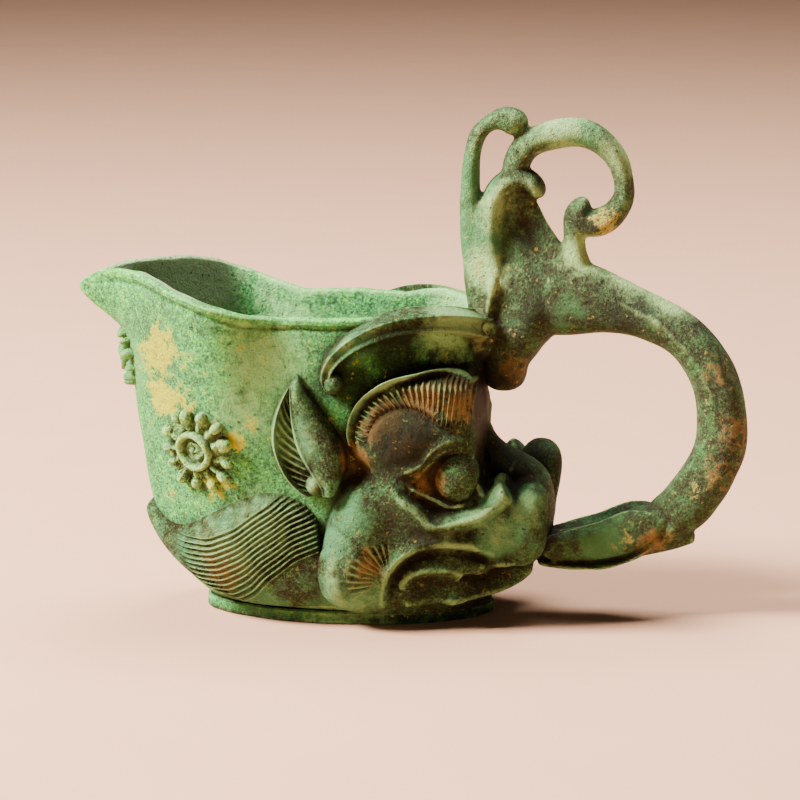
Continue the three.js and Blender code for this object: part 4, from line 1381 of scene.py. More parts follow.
@dataclass
class Handle:
    """The loop handle: tongue, stem and root with the crest's strap, lobe, scroll and bud."""

    bowl: Bowl
    reach: float = 82.3
    foot: float = 15.5
    head: float = 71.7
    leaf_y: float = 4.8
    stem_depth: float = 11.0
    stem_width: float = 5.8
    scroll_depth: float = 6.2
    scroll_width: float = 7.5
    voxel: float = 0.42
    fairing: int = 10
    play: float = 0.12

    def loop(self, points: Line) -> Line:
        """Places given from the loop's outer end and as shares of its height."""
        return tuple((self.reach + x, self.foot + (self.head - self.foot) * share) for x, share in points)

    def crest(self, points: Line) -> Line:
        """Places given from the bowl's front wall and the low rim."""
        return tuple((self.bowl.face_x + x, self.bowl.rim_low + z) for x, z in points)

    def tongue_limbs(self) -> list[Limb]:
        """The tongue's body, its leaf on both sides, the lip under it and the spur.

        Returns:
            The rods.
        """
        body = Limb(
            ((40.0, 15.8), (47.3, 15.5), (56.3, 16.1), (64.3, 18.9), (70.3, 22.8)),
            (3.2, 3.4, 4.3, 5.2, 4.9),
            (4.6, 5.0, 5.4, 5.6, 5.4),
            ends=(0.1, 0.22),
        )
        near_leaf = Limb(
            ((43.0, 15.6), (50.0, 16.6), (57.0, 18.0), (64.0, 20.4), (70.2, 22.4)),
            (2.4, 3.6, 4.4, 4.8, 3.6),
            (1.0, 1.8, 2.0, 2.0, 1.4),
            y=-self.leaf_y,
            ends=(0.1, 0.3),
        )
        lip = Limb(
            ((42.0, 12.2), (50.0, 11.6), (58.0, 12.1), (65.0, 14.8), (71.2, 19.4)),
            (0.9,) * 5,
            (5.6, 6.2, 6.4, 6.0, 4.6),
        )
        spur = Limb(
            ((62.0, 15.6), (70.4, 17.3), (76.9, 18.6)),
            (2.7, 2.6, 1.7),
            (4.2, 3.7, 3.0),
            ends=(0.2, 0.06),
        )
        return [body, near_leaf, replace(near_leaf, y=self.leaf_y), lip, spur]

    def stem_limb(self) -> Limb:
        """The stem of the loop, from the tongue round to the root.

        Returns:
            The rod.
        """
        line = (
            (-14.8, 0.07), (-7.6, 0.174), (-2.8, 0.297), (-0.1, 0.418), (0.0, 0.544), (-1.4, 0.664),
            (-4.6, 0.772), (-9.4, 0.859), (-16.0, 0.918), (-23.3, 0.961), (-31.2, 0.988), (-40.0, 0.997),
        )
        shares = (0.44, 0.52, 0.52, 0.515, 0.495, 0.475, 0.455, 0.435, 0.455, 0.555, 0.74, 0.8)
        depth = tuple(self.stem_depth * share for share in shares)
        width = (self.stem_width,) * len(shares)
        return Limb(self.loop(line), depth, width, ends=(0.05, 0.03), square=2.3)

    def root_limbs(self) -> list[Limb]:
        """The trunk from the tab to the crest, its saddle on the wall, its shoulder and the spine behind.

        Returns:
            The rods.
        """
        trunk = Limb(
            (
                (35.0, 50.2), (34.7, 53.5), (34.9, 57.5), (36.4, 62.5),
                (38.4, 69.0), (37.8, 75.5), (36.8, 81.5), (36.0, 88.0),
            ),
            (3.6, 4.8, 5.4, 7.0, 9.4, 8.8, 7.0, 5.0),
            (4.2, 5.4, 6.4, 6.9, 6.8, 5.8, 3.8, 2.0),
            ends=(0.09, 0.1),
        )
        saddle = Limb(
            ((29.4, 57.0), (29.6, 60.5), (29.8, 64.0), (30.2, 68.0)),
            (3.0, 4.4, 5.0, 4.8),
            (6.0, 7.8, 9.0, 9.4),
            ends=(0.35, 0.2),
        )
        shoulder = Limb(
            ((31.2, 64.5), (31.4, 69.5), (32.2, 74.0), (32.4, 78.0)),
            (1.8, 2.2, 2.0, 1.4),
            (6.8, 7.3, 7.0, 6.0),
            ends=(0.2, 0.3),
        )
        spine = Limb(
            ((31.4, 66.0), (30.4, 73.0), (29.6, 80.0), (29.4, 88.0)),
            (4.6, 4.6, 4.2, 2.6),
            (5.0, 4.8, 4.2, 2.8),
            ends=(0.1, 0.2),
        )
        return [trunk, saddle, shoulder, spine]

    def crest_limbs(self) -> list[Limb]:
        """The strap, the leaf between it and the roll, the roll with its web, the scroll and the bud.

        Returns:
            The rods.
        """
        strap = Limb(
            (
                (32.0, 64.5), (30.2, 71.5), (28.4, 79.0), (27.2, 87.0), (26.8, 95.0),
                (27.1, 101.7), (28.6, 106.8), (31.7, 109.5), (35.3, 109.9), (38.7, 107.7),
            ),
            (3.6, 3.4, 3.2, 2.7, 2.1, 1.85, 1.8, 1.95, 2.9, 2.7),
            (5.6, 5.4, 4.8, 4.2, 3.7, 3.3, 3.2, 3.2, 3.5, 3.0),
            ends=(0.06, 0.08),
            square=2.4,
        )
        roll = Limb(
            (
                (33.0, 73.0), (31.6, 80.0), (31.2, 87.0), (32.2, 92.8),
                (35.0, 96.6), (38.6, 97.2), (41.2, 95.4), (41.4, 92.9),
            ),
            (4.4, 3.8, 3.3, 2.9, 2.5, 2.3, 2.0, 1.6),
            (6.0, 5.8, 5.4, 5.0, 4.8, 4.6, 4.2, 3.4),
            ends=(0.1, 0.1),
        )
        filler = Limb(
            ((31.4, 69.0), (29.8, 76.0), (29.2, 83.0), (29.4, 89.0), (30.4, 94.0)),
            (2.4, 2.4, 2.2, 2.0, 1.4),
            (5.8, 5.5, 5.0, 4.6, 3.6),
            ends=(0.1, 0.2),
        )
        web = Limb(
            ((42.6, 76.0), (40.6, 81.0), (38.6, 86.0), (37.4, 91.0), (37.6, 95.0)),
            (8.0, 6.4, 5.4, 4.4, 2.8),
            (5.0, 3.0, 2.2, 2.0, 1.9),
            ends=(0.1, 0.1),
        )
        scroll_line = (
            (4.6, 26.0), (5.8, 33.0), (9.0, 37.0), (15.4, 39.1), (20.7, 38.9), (24.9, 36.6),
            (27.9, 32.5), (29.1, 26.6), (27.4, 22.5), (24.7, 20.2), (21.0, 19.4), (18.6, 21.6),
        )
        depths = (0.46, 0.48, 0.5, 0.52, 0.5, 0.44, 0.38, 0.36, 0.44, 0.5, 0.46, 0.34)
        widths = (0.46, 0.5, 0.5, 0.5, 0.48, 0.45, 0.42, 0.4, 0.44, 0.48, 0.46, 0.4)
        scroll = Limb(
            self.crest(scroll_line),
            tuple(self.scroll_depth * share for share in depths),
            tuple(self.scroll_width * share for share in widths),
            ends=(0.04, 0.06),
        )
        bud = Limb(
            self.crest(((19.4, 6.0), (18.6, 12.5), (18.4, 17.0), (18.9, 21.2), (20.6, 25.2))),
            (5.0, 2.7, 2.4, 3.0, 2.2),
            (4.6, 3.0, 2.8, 3.4, 2.6),
            ends=(0.06, 0.25),
        )
        return [strap, filler, roll, web, scroll, bud]

    def build(self) -> list[Casting]:
        """The handle run together from its rods, then worked over with a few strokes.

        Returns:
            The castings.
        """
        limbs = self.tongue_limbs() + [self.stem_limb()] + self.root_limbs() + self.crest_limbs()
        nodes = [
            "handle_tongue", "handle_stem", "handle_root",
            "crest_strap", "crest_lobe", "crest_scroll", "scroll_bud",
        ]
        handle = pour("handle", merged([limb.skin() for limb in limbs]), nodes, Slot.HANDLE)
        fuse(handle, self.voxel, self.fairing)
        points, normals = places(handle.body.data)
        sides = np.abs(normals[:, 1]) ** 1.5
        strokes = (
            # The raised edge along the loop's back
            Stroke(
                ((40.0, 76.4), (47.0, 75.0), (55.0, 72.6), (62.0, 69.8),
                 (69.0, 66.0), (75.0, 60.0), (79.5, 52.0), (81.0, 44.0)),
                0.6, 1.2, 2.4,
            ),
            # The groove round the tongue's leaf
            Stroke(
                ((44.0, 19.0), (55.0, 21.4), (64.0, 25.2), (69.4, 25.4),
                 (70.9, 21.6), (66.4, 16.6), (57.9, 13.4), (45.0, 13.2)),
                -0.5, 0.8, 0.8,
            ),
            # The hollow of the rolled leaf and the knob at its root
            Mound((40.4, 84.6), -1.2, (3.4, 6.0), tilt=20.0),
            Mound((33.4, 75.4), 1.1, (2.4, 3.4), tilt=10.0),
        )
        height = sides * relief(strokes, points[:, 0], points[:, 2]) + self.play * hand(points, 9.0, 2.2)
        tool(handle, height)
        return [handle]


# Wear, patina and painted light and shade: where the cup is hollow, cut or raised, and where the tints lie


@dataclass(frozen=True)
class Patch:
    """A round spot of one tint, on both flanks alike.

    Attributes:
        tint: which tint.
        middle: its place on the near flank.
        reach: its radius.
        strength: how strong the tint is in its middle.
    """

    tint: Tint
    middle: tuple[float, float, float]
    reach: float
    strength: float = 1.0


@dataclass
class WeatheringAndPaintedLight:
    """Finds hollows, grooves and crests on the whole cup and writes them, with the tints, as attributes; the
    finish darkens hollows and grooves with soot and painted shade, and lightens crests with worn metal and
    painted highlight.

    Attributes:
        patches: the spots of the tints.
        cell: side of a grid cell.
        margin: empty room round the cup in the grid.
        rounds: how often the flood goes along all three axes.
        passes: how often a surface is softened to find its grooves.
        fan: steps from a large face's corner to its middle.
        nook: spread of the bell that finds narrow hollows.
        deep: spread of the bell that finds wide ones.
        flat: share of bronze in a bell half a spread above a flat surface.
    """

    patches: Sequence[Patch]
    cell: float = 0.6
    margin: float = 9.0
    rounds: int = 3
    passes: int = 14
    fan: int = 30
    nook: float = 1.5
    deep: float = 4.5
    flat: float = 0.3085

    def marks(self, mesh: bpy.types.Mesh, points: Array) -> Array:
        """Places that cover a mesh closely: its corners, its faces' middles and steps between them.

        Args:
            mesh: the mesh.
            points: its vertices in millimetres.

        Returns:
            The places.
        """
        middle = np.empty(len(mesh.polygons) * 3, dtype=np.float32)
        count = np.empty(len(mesh.polygons), dtype=np.int32)
        corner = np.empty(len(mesh.loops), dtype=np.int32)
        mesh.polygons.foreach_get("center", middle)
        mesh.polygons.foreach_get("loop_total", count)
        mesh.loops.foreach_get("vertex_index", corner)
        middle = middle.reshape(-1, 3).astype(float) / MM
        start = points[corner]
        way = np.repeat(middle, count, axis=0) - start
        wide = np.linalg.norm(way, axis=-1) > self.cell
        share = np.linspace(0, 1, self.fan)[:, None, None]
        steps = start[wide] + way[wide] * share
        return np.concatenate([points, middle, steps.reshape(-1, 3)])

    def flood(self, wall: Array) -> Array:
        """The cells that can be reached from above the cup by straight runs.

        Along each axis the cells fall into runs between walls, and a run is reached if any of its cells is.

        Args:
            wall: whether a cell holds a surface.

        Returns:
            Whether a cell is reached.
        """
        reached = np.zeros(wall.shape, dtype=bool)
        reached[:, :, -1] = True
        for axis in (2, 0, 1) * self.rounds:
            shut = np.moveaxis(wall, axis, -1)
            wet = np.moveaxis(reached, axis, -1)
            lines = np.arange(shut.shape[0] * shut.shape[1]).reshape(shut.shape[:2]) * (shut.shape[2] + 1)
            run = np.cumsum(shut, axis=-1) + lines[..., None]
            hit = np.bincount(run.ravel(), wet.ravel()) > 0
            reached = np.moveaxis(hit[run] & ~shut, -1, axis)
        return reached

    def solid(self, places_found: Array) -> tuple[Array, Array]:
        """A coarse grid of what is bronze or lies under the floor, and the grid's low corner.

        Args:
            places_found: places that cover all surfaces.

        Returns:
            The grid of zeros and ones, and its low corner.
        """
        low = places_found.min(axis=0) - self.margin
        size = np.ceil((places_found.max(axis=0) + self.margin - low) / self.cell).astype(int)
        index = np.floor((places_found - low) / self.cell).astype(int)
        wall = np.zeros(size, dtype=bool)
        wall[tuple(index.T)] = True
        wall[:, :, : int(-low[2] / self.cell)] = True
        return (~self.flood(wall)).astype(np.float32), low

    def blurred(self, solid: Array, spread: float) -> Array:
        """The grid under a bell of the given spread, by one Fourier transform along each axis.

        Args:
            solid: the grid.
            spread: the bell's standard deviation.

        Returns:
            The softened grid.
        """
        for axis, cells in enumerate(solid.shape):
            turns = np.fft.rfftfreq(cells, self.cell)
            fade = np.exp(-2 * (np.pi * turns * spread) ** 2)
            shape = [1, 1, 1]
            shape[axis] = -1
            solid = np.fft.irfft(np.fft.rfft(solid, axis=axis) * fade.reshape(shape), cells, axis=axis)
        return solid

    def read(self, count: Array, low: Array, points: Array) -> Array:
        """Reads a grid between its cells: the mean of the eight cells round a place by their shares.

        Args:
            count: the grid.
            low: its low corner.
            points: where to read it.

        Returns:
            One number for every place.
        """
        at = (points - low) / self.cell - 0.5
        base = np.clip(np.floor(at).astype(int), 0, np.array(count.shape) - 2)
        part = at - base
        total = np.zeros(len(points))
        for corner in np.ndindex(2, 2, 2):
            step = np.array(corner)
            share = np.prod(np.where(step, part, 1 - part), axis=-1)
            total += share * count[tuple((base + step).T)]
        return total

    def groove(self, mesh: bpy.types.Mesh, points: Array, normals: Array) -> Array:
        """How far each vertex lies under its softened neighbourhood.

        In each pass half of a vertex's place becomes the mean of its neighbours' places.

        Args:
            mesh: the mesh.
            points: its vertices.
            normals: their normals.

        Returns:
            Millimetres, above zero in a groove and below zero on a crest.
        """
        ends = np.empty(len(mesh.edges) * 2, dtype=np.int32)
        mesh.edges.foreach_get("vertices", ends)
        here, there = np.concatenate([ends[::2], ends[1::2]]), np.concatenate([ends[1::2], ends[::2]])
        many = np.bincount(here, minlength=len(points))[:, None]
        soft = points
        for _ in range(self.passes):
            total = [np.bincount(here, soft[there, axis], len(points)) for axis in range(3)]
            soft = 0.5 * soft + 0.5 * np.stack(total, axis=-1) / np.maximum(many, 1)
        return np.sum((soft - points) * normals, axis=-1)

    def apply(self, castings: Sequence[Casting]) -> None:
        """Writes the attributes nook, deep and groove and one for each tint.

        Nook and deep are the share of bronze in a bell half a spread above the surface, less that over a
        flat one.

        Args:
            castings: all pieces.
        """
        meshes = [casting.body.data for casting in castings]
        found = [places(mesh) for mesh in meshes]
        cover = np.concatenate([self.marks(mesh, points) for mesh, (points, _) in zip(meshes, found)])
        solid, low = self.solid(cover)
        for name, spread in (("nook", self.nook), ("deep", self.deep)):
            full = self.blurred(solid, spread)
            for mesh, (points, normals) in zip(meshes, found):
                store(mesh, name, self.read(full, low, points + normals * spread / 2) - self.flat)
        for mesh, (points, normals) in zip(meshes, found):
            store(mesh, "groove", self.groove(mesh, points, normals))
            for tint in Tint:
                store(mesh, tint.value, self.tinted(tint, points))

    def tinted(self, tint: Tint, points: Array) -> Array:
        """The strongest of a tint's spots at each place: strength * exp(-(distance / reach)^2).

        Args:
            tint: the tint.
            points: places on either flank.

        Returns:
            The tint's strength at each place.
        """
        flank = np.stack([points[:, 0], -np.abs(points[:, 1]), points[:, 2]], axis=-1)
        total = np.zeros(len(points))
        for patch in self.patches:
            if patch.tint is tint:
                gap = np.linalg.norm(flank - np.array(patch.middle), axis=-1)
                total = np.maximum(total, patch.strength * bell(gap / patch.reach))
        return total


# Finishes


@dataclass
class Wiring:
    """A small helper that adds and joins the nodes of one tree."""

    tree: bpy.types.NodeTree

    def add(self, kind: str, **settings: object) -> bpy.types.Node:
        """Adds a node and sets its properties.

        Args:
            kind: the node's type.
            settings: its properties.

        Returns:
            The node.
        """
        node = self.tree.nodes.new(kind)
        for key, value in settings.items():
            setattr(node, key, value)
        return node

    def feed(self, socket: bpy.types.NodeSocket, value: object) -> None:
        """Joins an output to a socket, or sets the socket to a plain value.

        Args:
            socket: the socket that is fed.
            value: an output, a plain value, or None to leave the socket alone.
        """
        if isinstance(value, bpy.types.NodeSocket):
            self.tree.links.new(value, socket)
        elif value is not None:
            socket.default_value = value

    def noise(self, vector: object, scale: float, detail: float, rough: float) -> bpy.types.NodeSocket:
        """A fractal noise between 0 and 1.

        Args:
            vector: the places.
            scale: spots per metre, roughly.
            detail: number of finer layers.
            rough: strength of each finer layer.

        Returns:
            The noise.
        """
        node = self.add("ShaderNodeTexNoise")
        for name, value in (("Vector", vector), ("Scale", scale), ("Detail", detail), ("Roughness", rough)):
            self.feed(node.inputs[name], value)
        return node.outputs[0]

    def math(self, operation: str, a: object, b: object = None, c: object = None) -> bpy.types.NodeSocket:
        """One sum on numbers.

        Args:
            operation: the sum's name.
            a: first number or output.
            b: second one.
            c: third one.

        Returns:
            The result.
        """
        node = self.add("ShaderNodeMath", operation=operation)
        for socket, value in zip(node.inputs, (a, b, c)):
            self.feed(socket, value)
        return node.outputs[0]

    def ramp(
        self, value: object, low: float, high: float, start: float = 0.0, end: float = 1.0
    ) -> bpy.types.NodeSocket:
        """A smooth step from start to end as the value goes from low to high.

        Args:
            value: the output that is read.
            low: where the step starts.
            high: where it ends.
            start: the result up to low.
            end: the result from high on.

        Returns:
            The step.
        """
        node = self.add("ShaderNodeMapRange", interpolation_type="SMOOTHSTEP")
        names = ("Value", "From Min", "From Max", "To Min", "To Max")
        for name, number in zip(names, (value, low, high, start, end)):
            self.feed(node.inputs[name], number)
        return node.outputs[0]

    def mix(self, share: object, a: object, b: object) -> bpy.types.NodeSocket:
        """A mix of two colours, whose sockets come after those for numbers and vectors.

        Args:
            share: share of the second colour.
            a: first colour.
            b: second colour.

        Returns:
            The mixed colour.
        """
        node = self.add("ShaderNodeMix", data_type="RGBA")
        for index, value in ((0, share), (6, a), (7, b)):
            self.feed(node.inputs[index], value)
        return node.outputs[2]

    def lay(self, under: object, over: object, mask: object, strength: float) -> bpy.types.NodeSocket:
        """One colour laid over another: a mix by mask * strength."""
        return self.mix(self.math("MULTIPLY", mask, strength), under, over)

    def frayed(self, mask: object, noise: object, fray: float, soft: float) -> bpy.types.NodeSocket:
        """A mask whose edge is broken up: a smooth step of mask + fray * (noise - 0.5) about one half."""
        shifted = self.math("MULTIPLY_ADD", noise, fray, -0.5 * fray)
        return self.ramp(self.math("ADD", mask, shifted), 0.5 - soft, 0.5 + soft)


Colour = tuple[float, float, float, float]
LAYERS = ("Nook", "Deep", "Groove", "Gilt", "Rust", "Cool_and_lit", "Soot_and_shade", "Pale", "Lined")
PIGMENTS = ("Ground", "Light", "Dark", "Turquoise", "Gold", "Orange", "Black", "Worn_and_highlight", "Lining")


@dataclass(frozen=True)
class Verdigris:
    """The shared patina: mottled greens with gilding and rust laid over them, soot and painted shade in the
    hollows, and worn metal and painted highlights on the crests.
    """

    name: str = "verdigris"

    def sockets(self, tree: bpy.types.NodeTree) -> None:
        """Declares what goes into the group and what comes out of it.

        Args:
            tree: the group.
        """
        given = [("Vector", "NodeSocketVector")]
        given += [(name, "NodeSocketFloat") for name in LAYERS]
        given += [(name, "NodeSocketColor") for name in PIGMENTS]
        made = [("Colour", "NodeSocketColor")]
        made += [(name, "NodeSocketFloat") for name in ("Roughness", "Metal", "Height")]
        for way, names in (("INPUT", given), ("OUTPUT", made)):
            for name, kind in names:
                tree.interface.new_socket(name, in_out=way, socket_type=kind)

    def group(self) -> bpy.types.NodeTree:
        """Builds the node group once: each tint is a mask with a frayed edge, laid over what is there.

        Returns:
            The group, with a colour, a roughness, a metal share and a height as outputs.
        """
        tree = bpy.data.node_groups.new(self.name, "ShaderNodeTree")
        self.sockets(tree)
        wire = Wiring(tree)
        given = wire.add("NodeGroupInput").outputs
        made = wire.add("NodeGroupOutput").inputs
        # Patterns from broad clouds to a fine grain
        place = given["Vector"]
        cloud = wire.noise(place, scale=60.0, detail=5.0, rough=0.6)
        drift = wire.noise(place, scale=170.0, detail=6.0, rough=0.62)
        mottle = wire.noise(place, scale=480.0, detail=6.0, rough=0.7)
        grain = wire.noise(place, scale=1700.0, detail=3.0, rough=0.75)
        hue = wire.ramp(wire.noise(place, scale=310.0, detail=5.0, rough=0.65), 0.5, 0.66)
        pits = wire.ramp(wire.noise(place, scale=900.0, detail=2.0, rough=0.5), 0.68, 0.73)
        flecks = wire.ramp(wire.noise(place, scale=640.0, detail=3.0, rough=0.6), 0.65, 0.71)
        # The mottled greens, darker in the nooks
        tone = wire.math("MULTIPLY_ADD", cloud, 0.4, 0.28)
        for pattern, swing in ((drift, 1.0), (mottle, 1.3), (grain, 3.0)):
            tone = wire.math("ADD", tone, wire.math("MULTIPLY_ADD", pattern, swing, -swing / 2))
        tone = wire.math("MULTIPLY_ADD", given["Nook"], -1.4, tone)
        colour = wire.mix(wire.ramp(tone, 0.0, 0.42), given["Dark"], given["Ground"])
        colour = wire.mix(wire.ramp(tone, 0.48, 0.95), colour, given["Light"])
        colour = wire.lay(colour, given["Turquoise"], hue, 0.35)
        # The lining of the bowl's inside, and the cool spots: turquoise patina, and on the nose, the
        # cheekbone and the ear painted light
        lined = wire.frayed(given["Lined"], mottle, 1.6, 0.35)
        colour = wire.lay(colour, given["Lining"], lined, 0.85)
        cool_and_lit = wire.frayed(wire.math("ADD", given["Cool_and_lit"], 0.1), drift, 1.4, 0.25)
        colour = wire.lay(colour, given["Turquoise"], cool_and_lit, 0.7)
        # Rust in its spots and in the nooks
        nook = wire.ramp(given["Nook"], 0.14, 0.42)
        deep = wire.ramp(given["Deep"], 0.08, 0.38)
        rusty = wire.math("MULTIPLY_ADD", nook, 0.25, given["Rust"])
        rust = wire.frayed(rusty, mottle, 1.8, 0.22)
        colour = wire.lay(colour, given["Orange"], rust, 0.85)
        # Soot and painted shade: black in the soot spots, in the hollows and along the grooves
        soot_and_shade_amount = wire.math("MULTIPLY_ADD", nook, 0.5, given["Soot_and_shade"])
        soot_and_shade_amount = wire.math("MULTIPLY_ADD", deep, 0.7, soot_and_shade_amount)
        soot_and_shade = wire.frayed(soot_and_shade_amount, drift, 0.7, 0.45)
        colour = wire.lay(colour, given["Black"], soot_and_shade, 0.9)
        # Grooves blackened: partly dirt, partly painted shade in the creases
        cut = wire.ramp(given["Groove"], 0.03, 0.24)
        cut = wire.math("MULTIPLY", cut, wire.ramp(rust, 0.0, 1.0, 0.6, 0.4))
        colour = wire.mix(cut, colour, given["Black"])
        # Pale metal on the crests and in the pale spots: partly wear, partly painted highlight
        ridge = wire.ramp(given["Groove"], -0.05, -0.22)
        crest = wire.math("ADD", ridge, wire.ramp(given["Nook"], -0.08, -0.24))
        worn_and_highlight = wire.frayed(wire.math("MULTIPLY_ADD", crest, 0.5, given["Pale"]), mottle, 1.3, 0.4)
        worn_and_highlight = wire.math("MULTIPLY", worn_and_highlight, wire.ramp(rust, 0.0, 1.0, 0.75, 0.2))
        colour = wire.mix(worn_and_highlight, colour, given["Worn_and_highlight"])
        # Gilding in flakes and flecks, tarnished in places and absent from the lining
        flake = wire.math("MULTIPLY_ADD", drift, 0.4, wire.math("MULTIPLY", mottle, 0.6))
        gilded = wire.math("MULTIPLY", given["Gilt"], wire.ramp(given["Lined"], 0.1, 0.5, 1.0, 0.0))
        gilt = wire.frayed(gilded, flake, 3.4, 0.12)
        gilt = wire.math("MAXIMUM", gilt, wire.math("MULTIPLY", flecks, 0.65))
        gold = wire.lay(given["Gold"], given["Orange"], wire.ramp(mottle, 0.5, 0.64), 0.55)
        colour = wire.lay(colour, gold, gilt, 0.85)
        # Black pits over everything
        wire.feed(made["Colour"], wire.lay(colour, given["Black"], pits, 0.7))
        rough = wire.math("MULTIPLY_ADD", mottle, 0.3, 0.42)
        wire.feed(made["Roughness"], wire.math("MULTIPLY_ADD", gilt, -0.1, rough))
        wire.feed(made["Metal"], wire.math("MULTIPLY", gilt, 0.15))
        height = wire.math("MULTIPLY_ADD", mottle, 1.0, wire.math("MULTIPLY", grain, 0.5))
        wire.feed(made["Height"], wire.math("MULTIPLY_ADD", pits, -0.5, height))
        return tree


@dataclass(frozen=True)
class Finish:
    """One slot's patina: the shared group with its own colours."""

    slot: Slot
    ground: Colour
    light: Colour
    dark: Colour
    turquoise: Colour = (0.13, 0.36, 0.1, 1.0)
    gold: Colour = (0.56, 0.56, 0.002, 1.0)
    orange: Colour = (0.29, 0.16, 0.045, 1.0)
    black: Colour = (0.014, 0.011, 0.0035, 1.0)
    # Pale metal for the crests and pale spots: worn bronze and painted highlight
    worn_and_highlight: Colour = (0.3, 0.48, 0.19, 1.0)
    lining: Colour = (0.33, 0.35, 0.21, 1.0)
    specular: float = 0.08
    bump: float = 1.0
    bump_depth: float = 0.0014

    def material(self, group: bpy.types.NodeTree) -> bpy.types.Material:
        """The slot's material.

        Args:
            group: the shared patina.

        Returns:
            The material.
        """
        material = bpy.data.materials.new(self.slot.value)
        material.use_nodes = True
        wire = Wiring(material.node_tree)
        shader = material.node_tree.nodes["Principled BSDF"]
        patina = wire.add("ShaderNodeGroup", node_tree=group)
        wire.feed(patina.inputs["Vector"], wire.add("ShaderNodeTexCoord").outputs["Object"])
        for name in LAYERS:
            layer = wire.add("ShaderNodeAttribute", attribute_name=name.lower())
            wire.feed(patina.inputs[name], layer.outputs["Fac"])
        for name in PIGMENTS:
            patina.inputs[name].default_value = getattr(self, name.lower())
        shader.inputs["Specular IOR Level"].default_value = self.specular
        bump = wire.add("ShaderNodeBump")
        bump.inputs["Strength"].default_value = self.bump
        bump.inputs["Distance"].default_value = self.bump_depth
        wire.feed(bump.inputs["Height"], patina.outputs["Height"])
        for name, output in (("Base Color", "Colour"), ("Roughness", "Roughness"), ("Metallic", "Metal")):
            wire.feed(shader.inputs[name], patina.outputs[output])
        wire.feed(shader.inputs["Normal"], bump.outputs["Normal"])
        return material


FINISHES = (
    Finish(
        Slot.BOWL, (0.088, 0.35, 0.09, 1.0), (0.2, 0.82, 0.06, 1.0), (0.05, 0.115, 0.042, 1.0),
        gold=(0.54, 0.52, 0.002, 1.0), worn_and_highlight=(0.34, 0.62, 0.2, 1.0),
    ),
    Finish(
        Slot.HEAD, (0.041, 0.062, 0.023, 1.0), (0.094, 0.262, 0.068, 1.0), (0.027, 0.019, 0.005, 1.0),
        turquoise=(0.08, 0.25, 0.095, 1.0), gold=(0.3, 0.23, 0.04, 1.0), worn_and_highlight=(0.27, 0.45, 0.16, 1.0),
    ),
    Finish(
        Slot.HANDLE, (0.048, 0.068, 0.023, 1.0), (0.095, 0.22, 0.062, 1.0), (0.033, 0.024, 0.008, 1.0),
        turquoise=(0.085, 0.26, 0.08, 1.0), gold=(0.5, 0.42, 0.08, 1.0), worn_and_highlight=(0.4, 0.6, 0.2, 1.0),
        specular=0.15,
    ),
    Finish(Slot.GILT, (0.23, 0.45, 0.12, 1.0), (0.5, 0.8, 0.12, 1.0), (0.06, 0.1, 0.03, 1.0)),
)

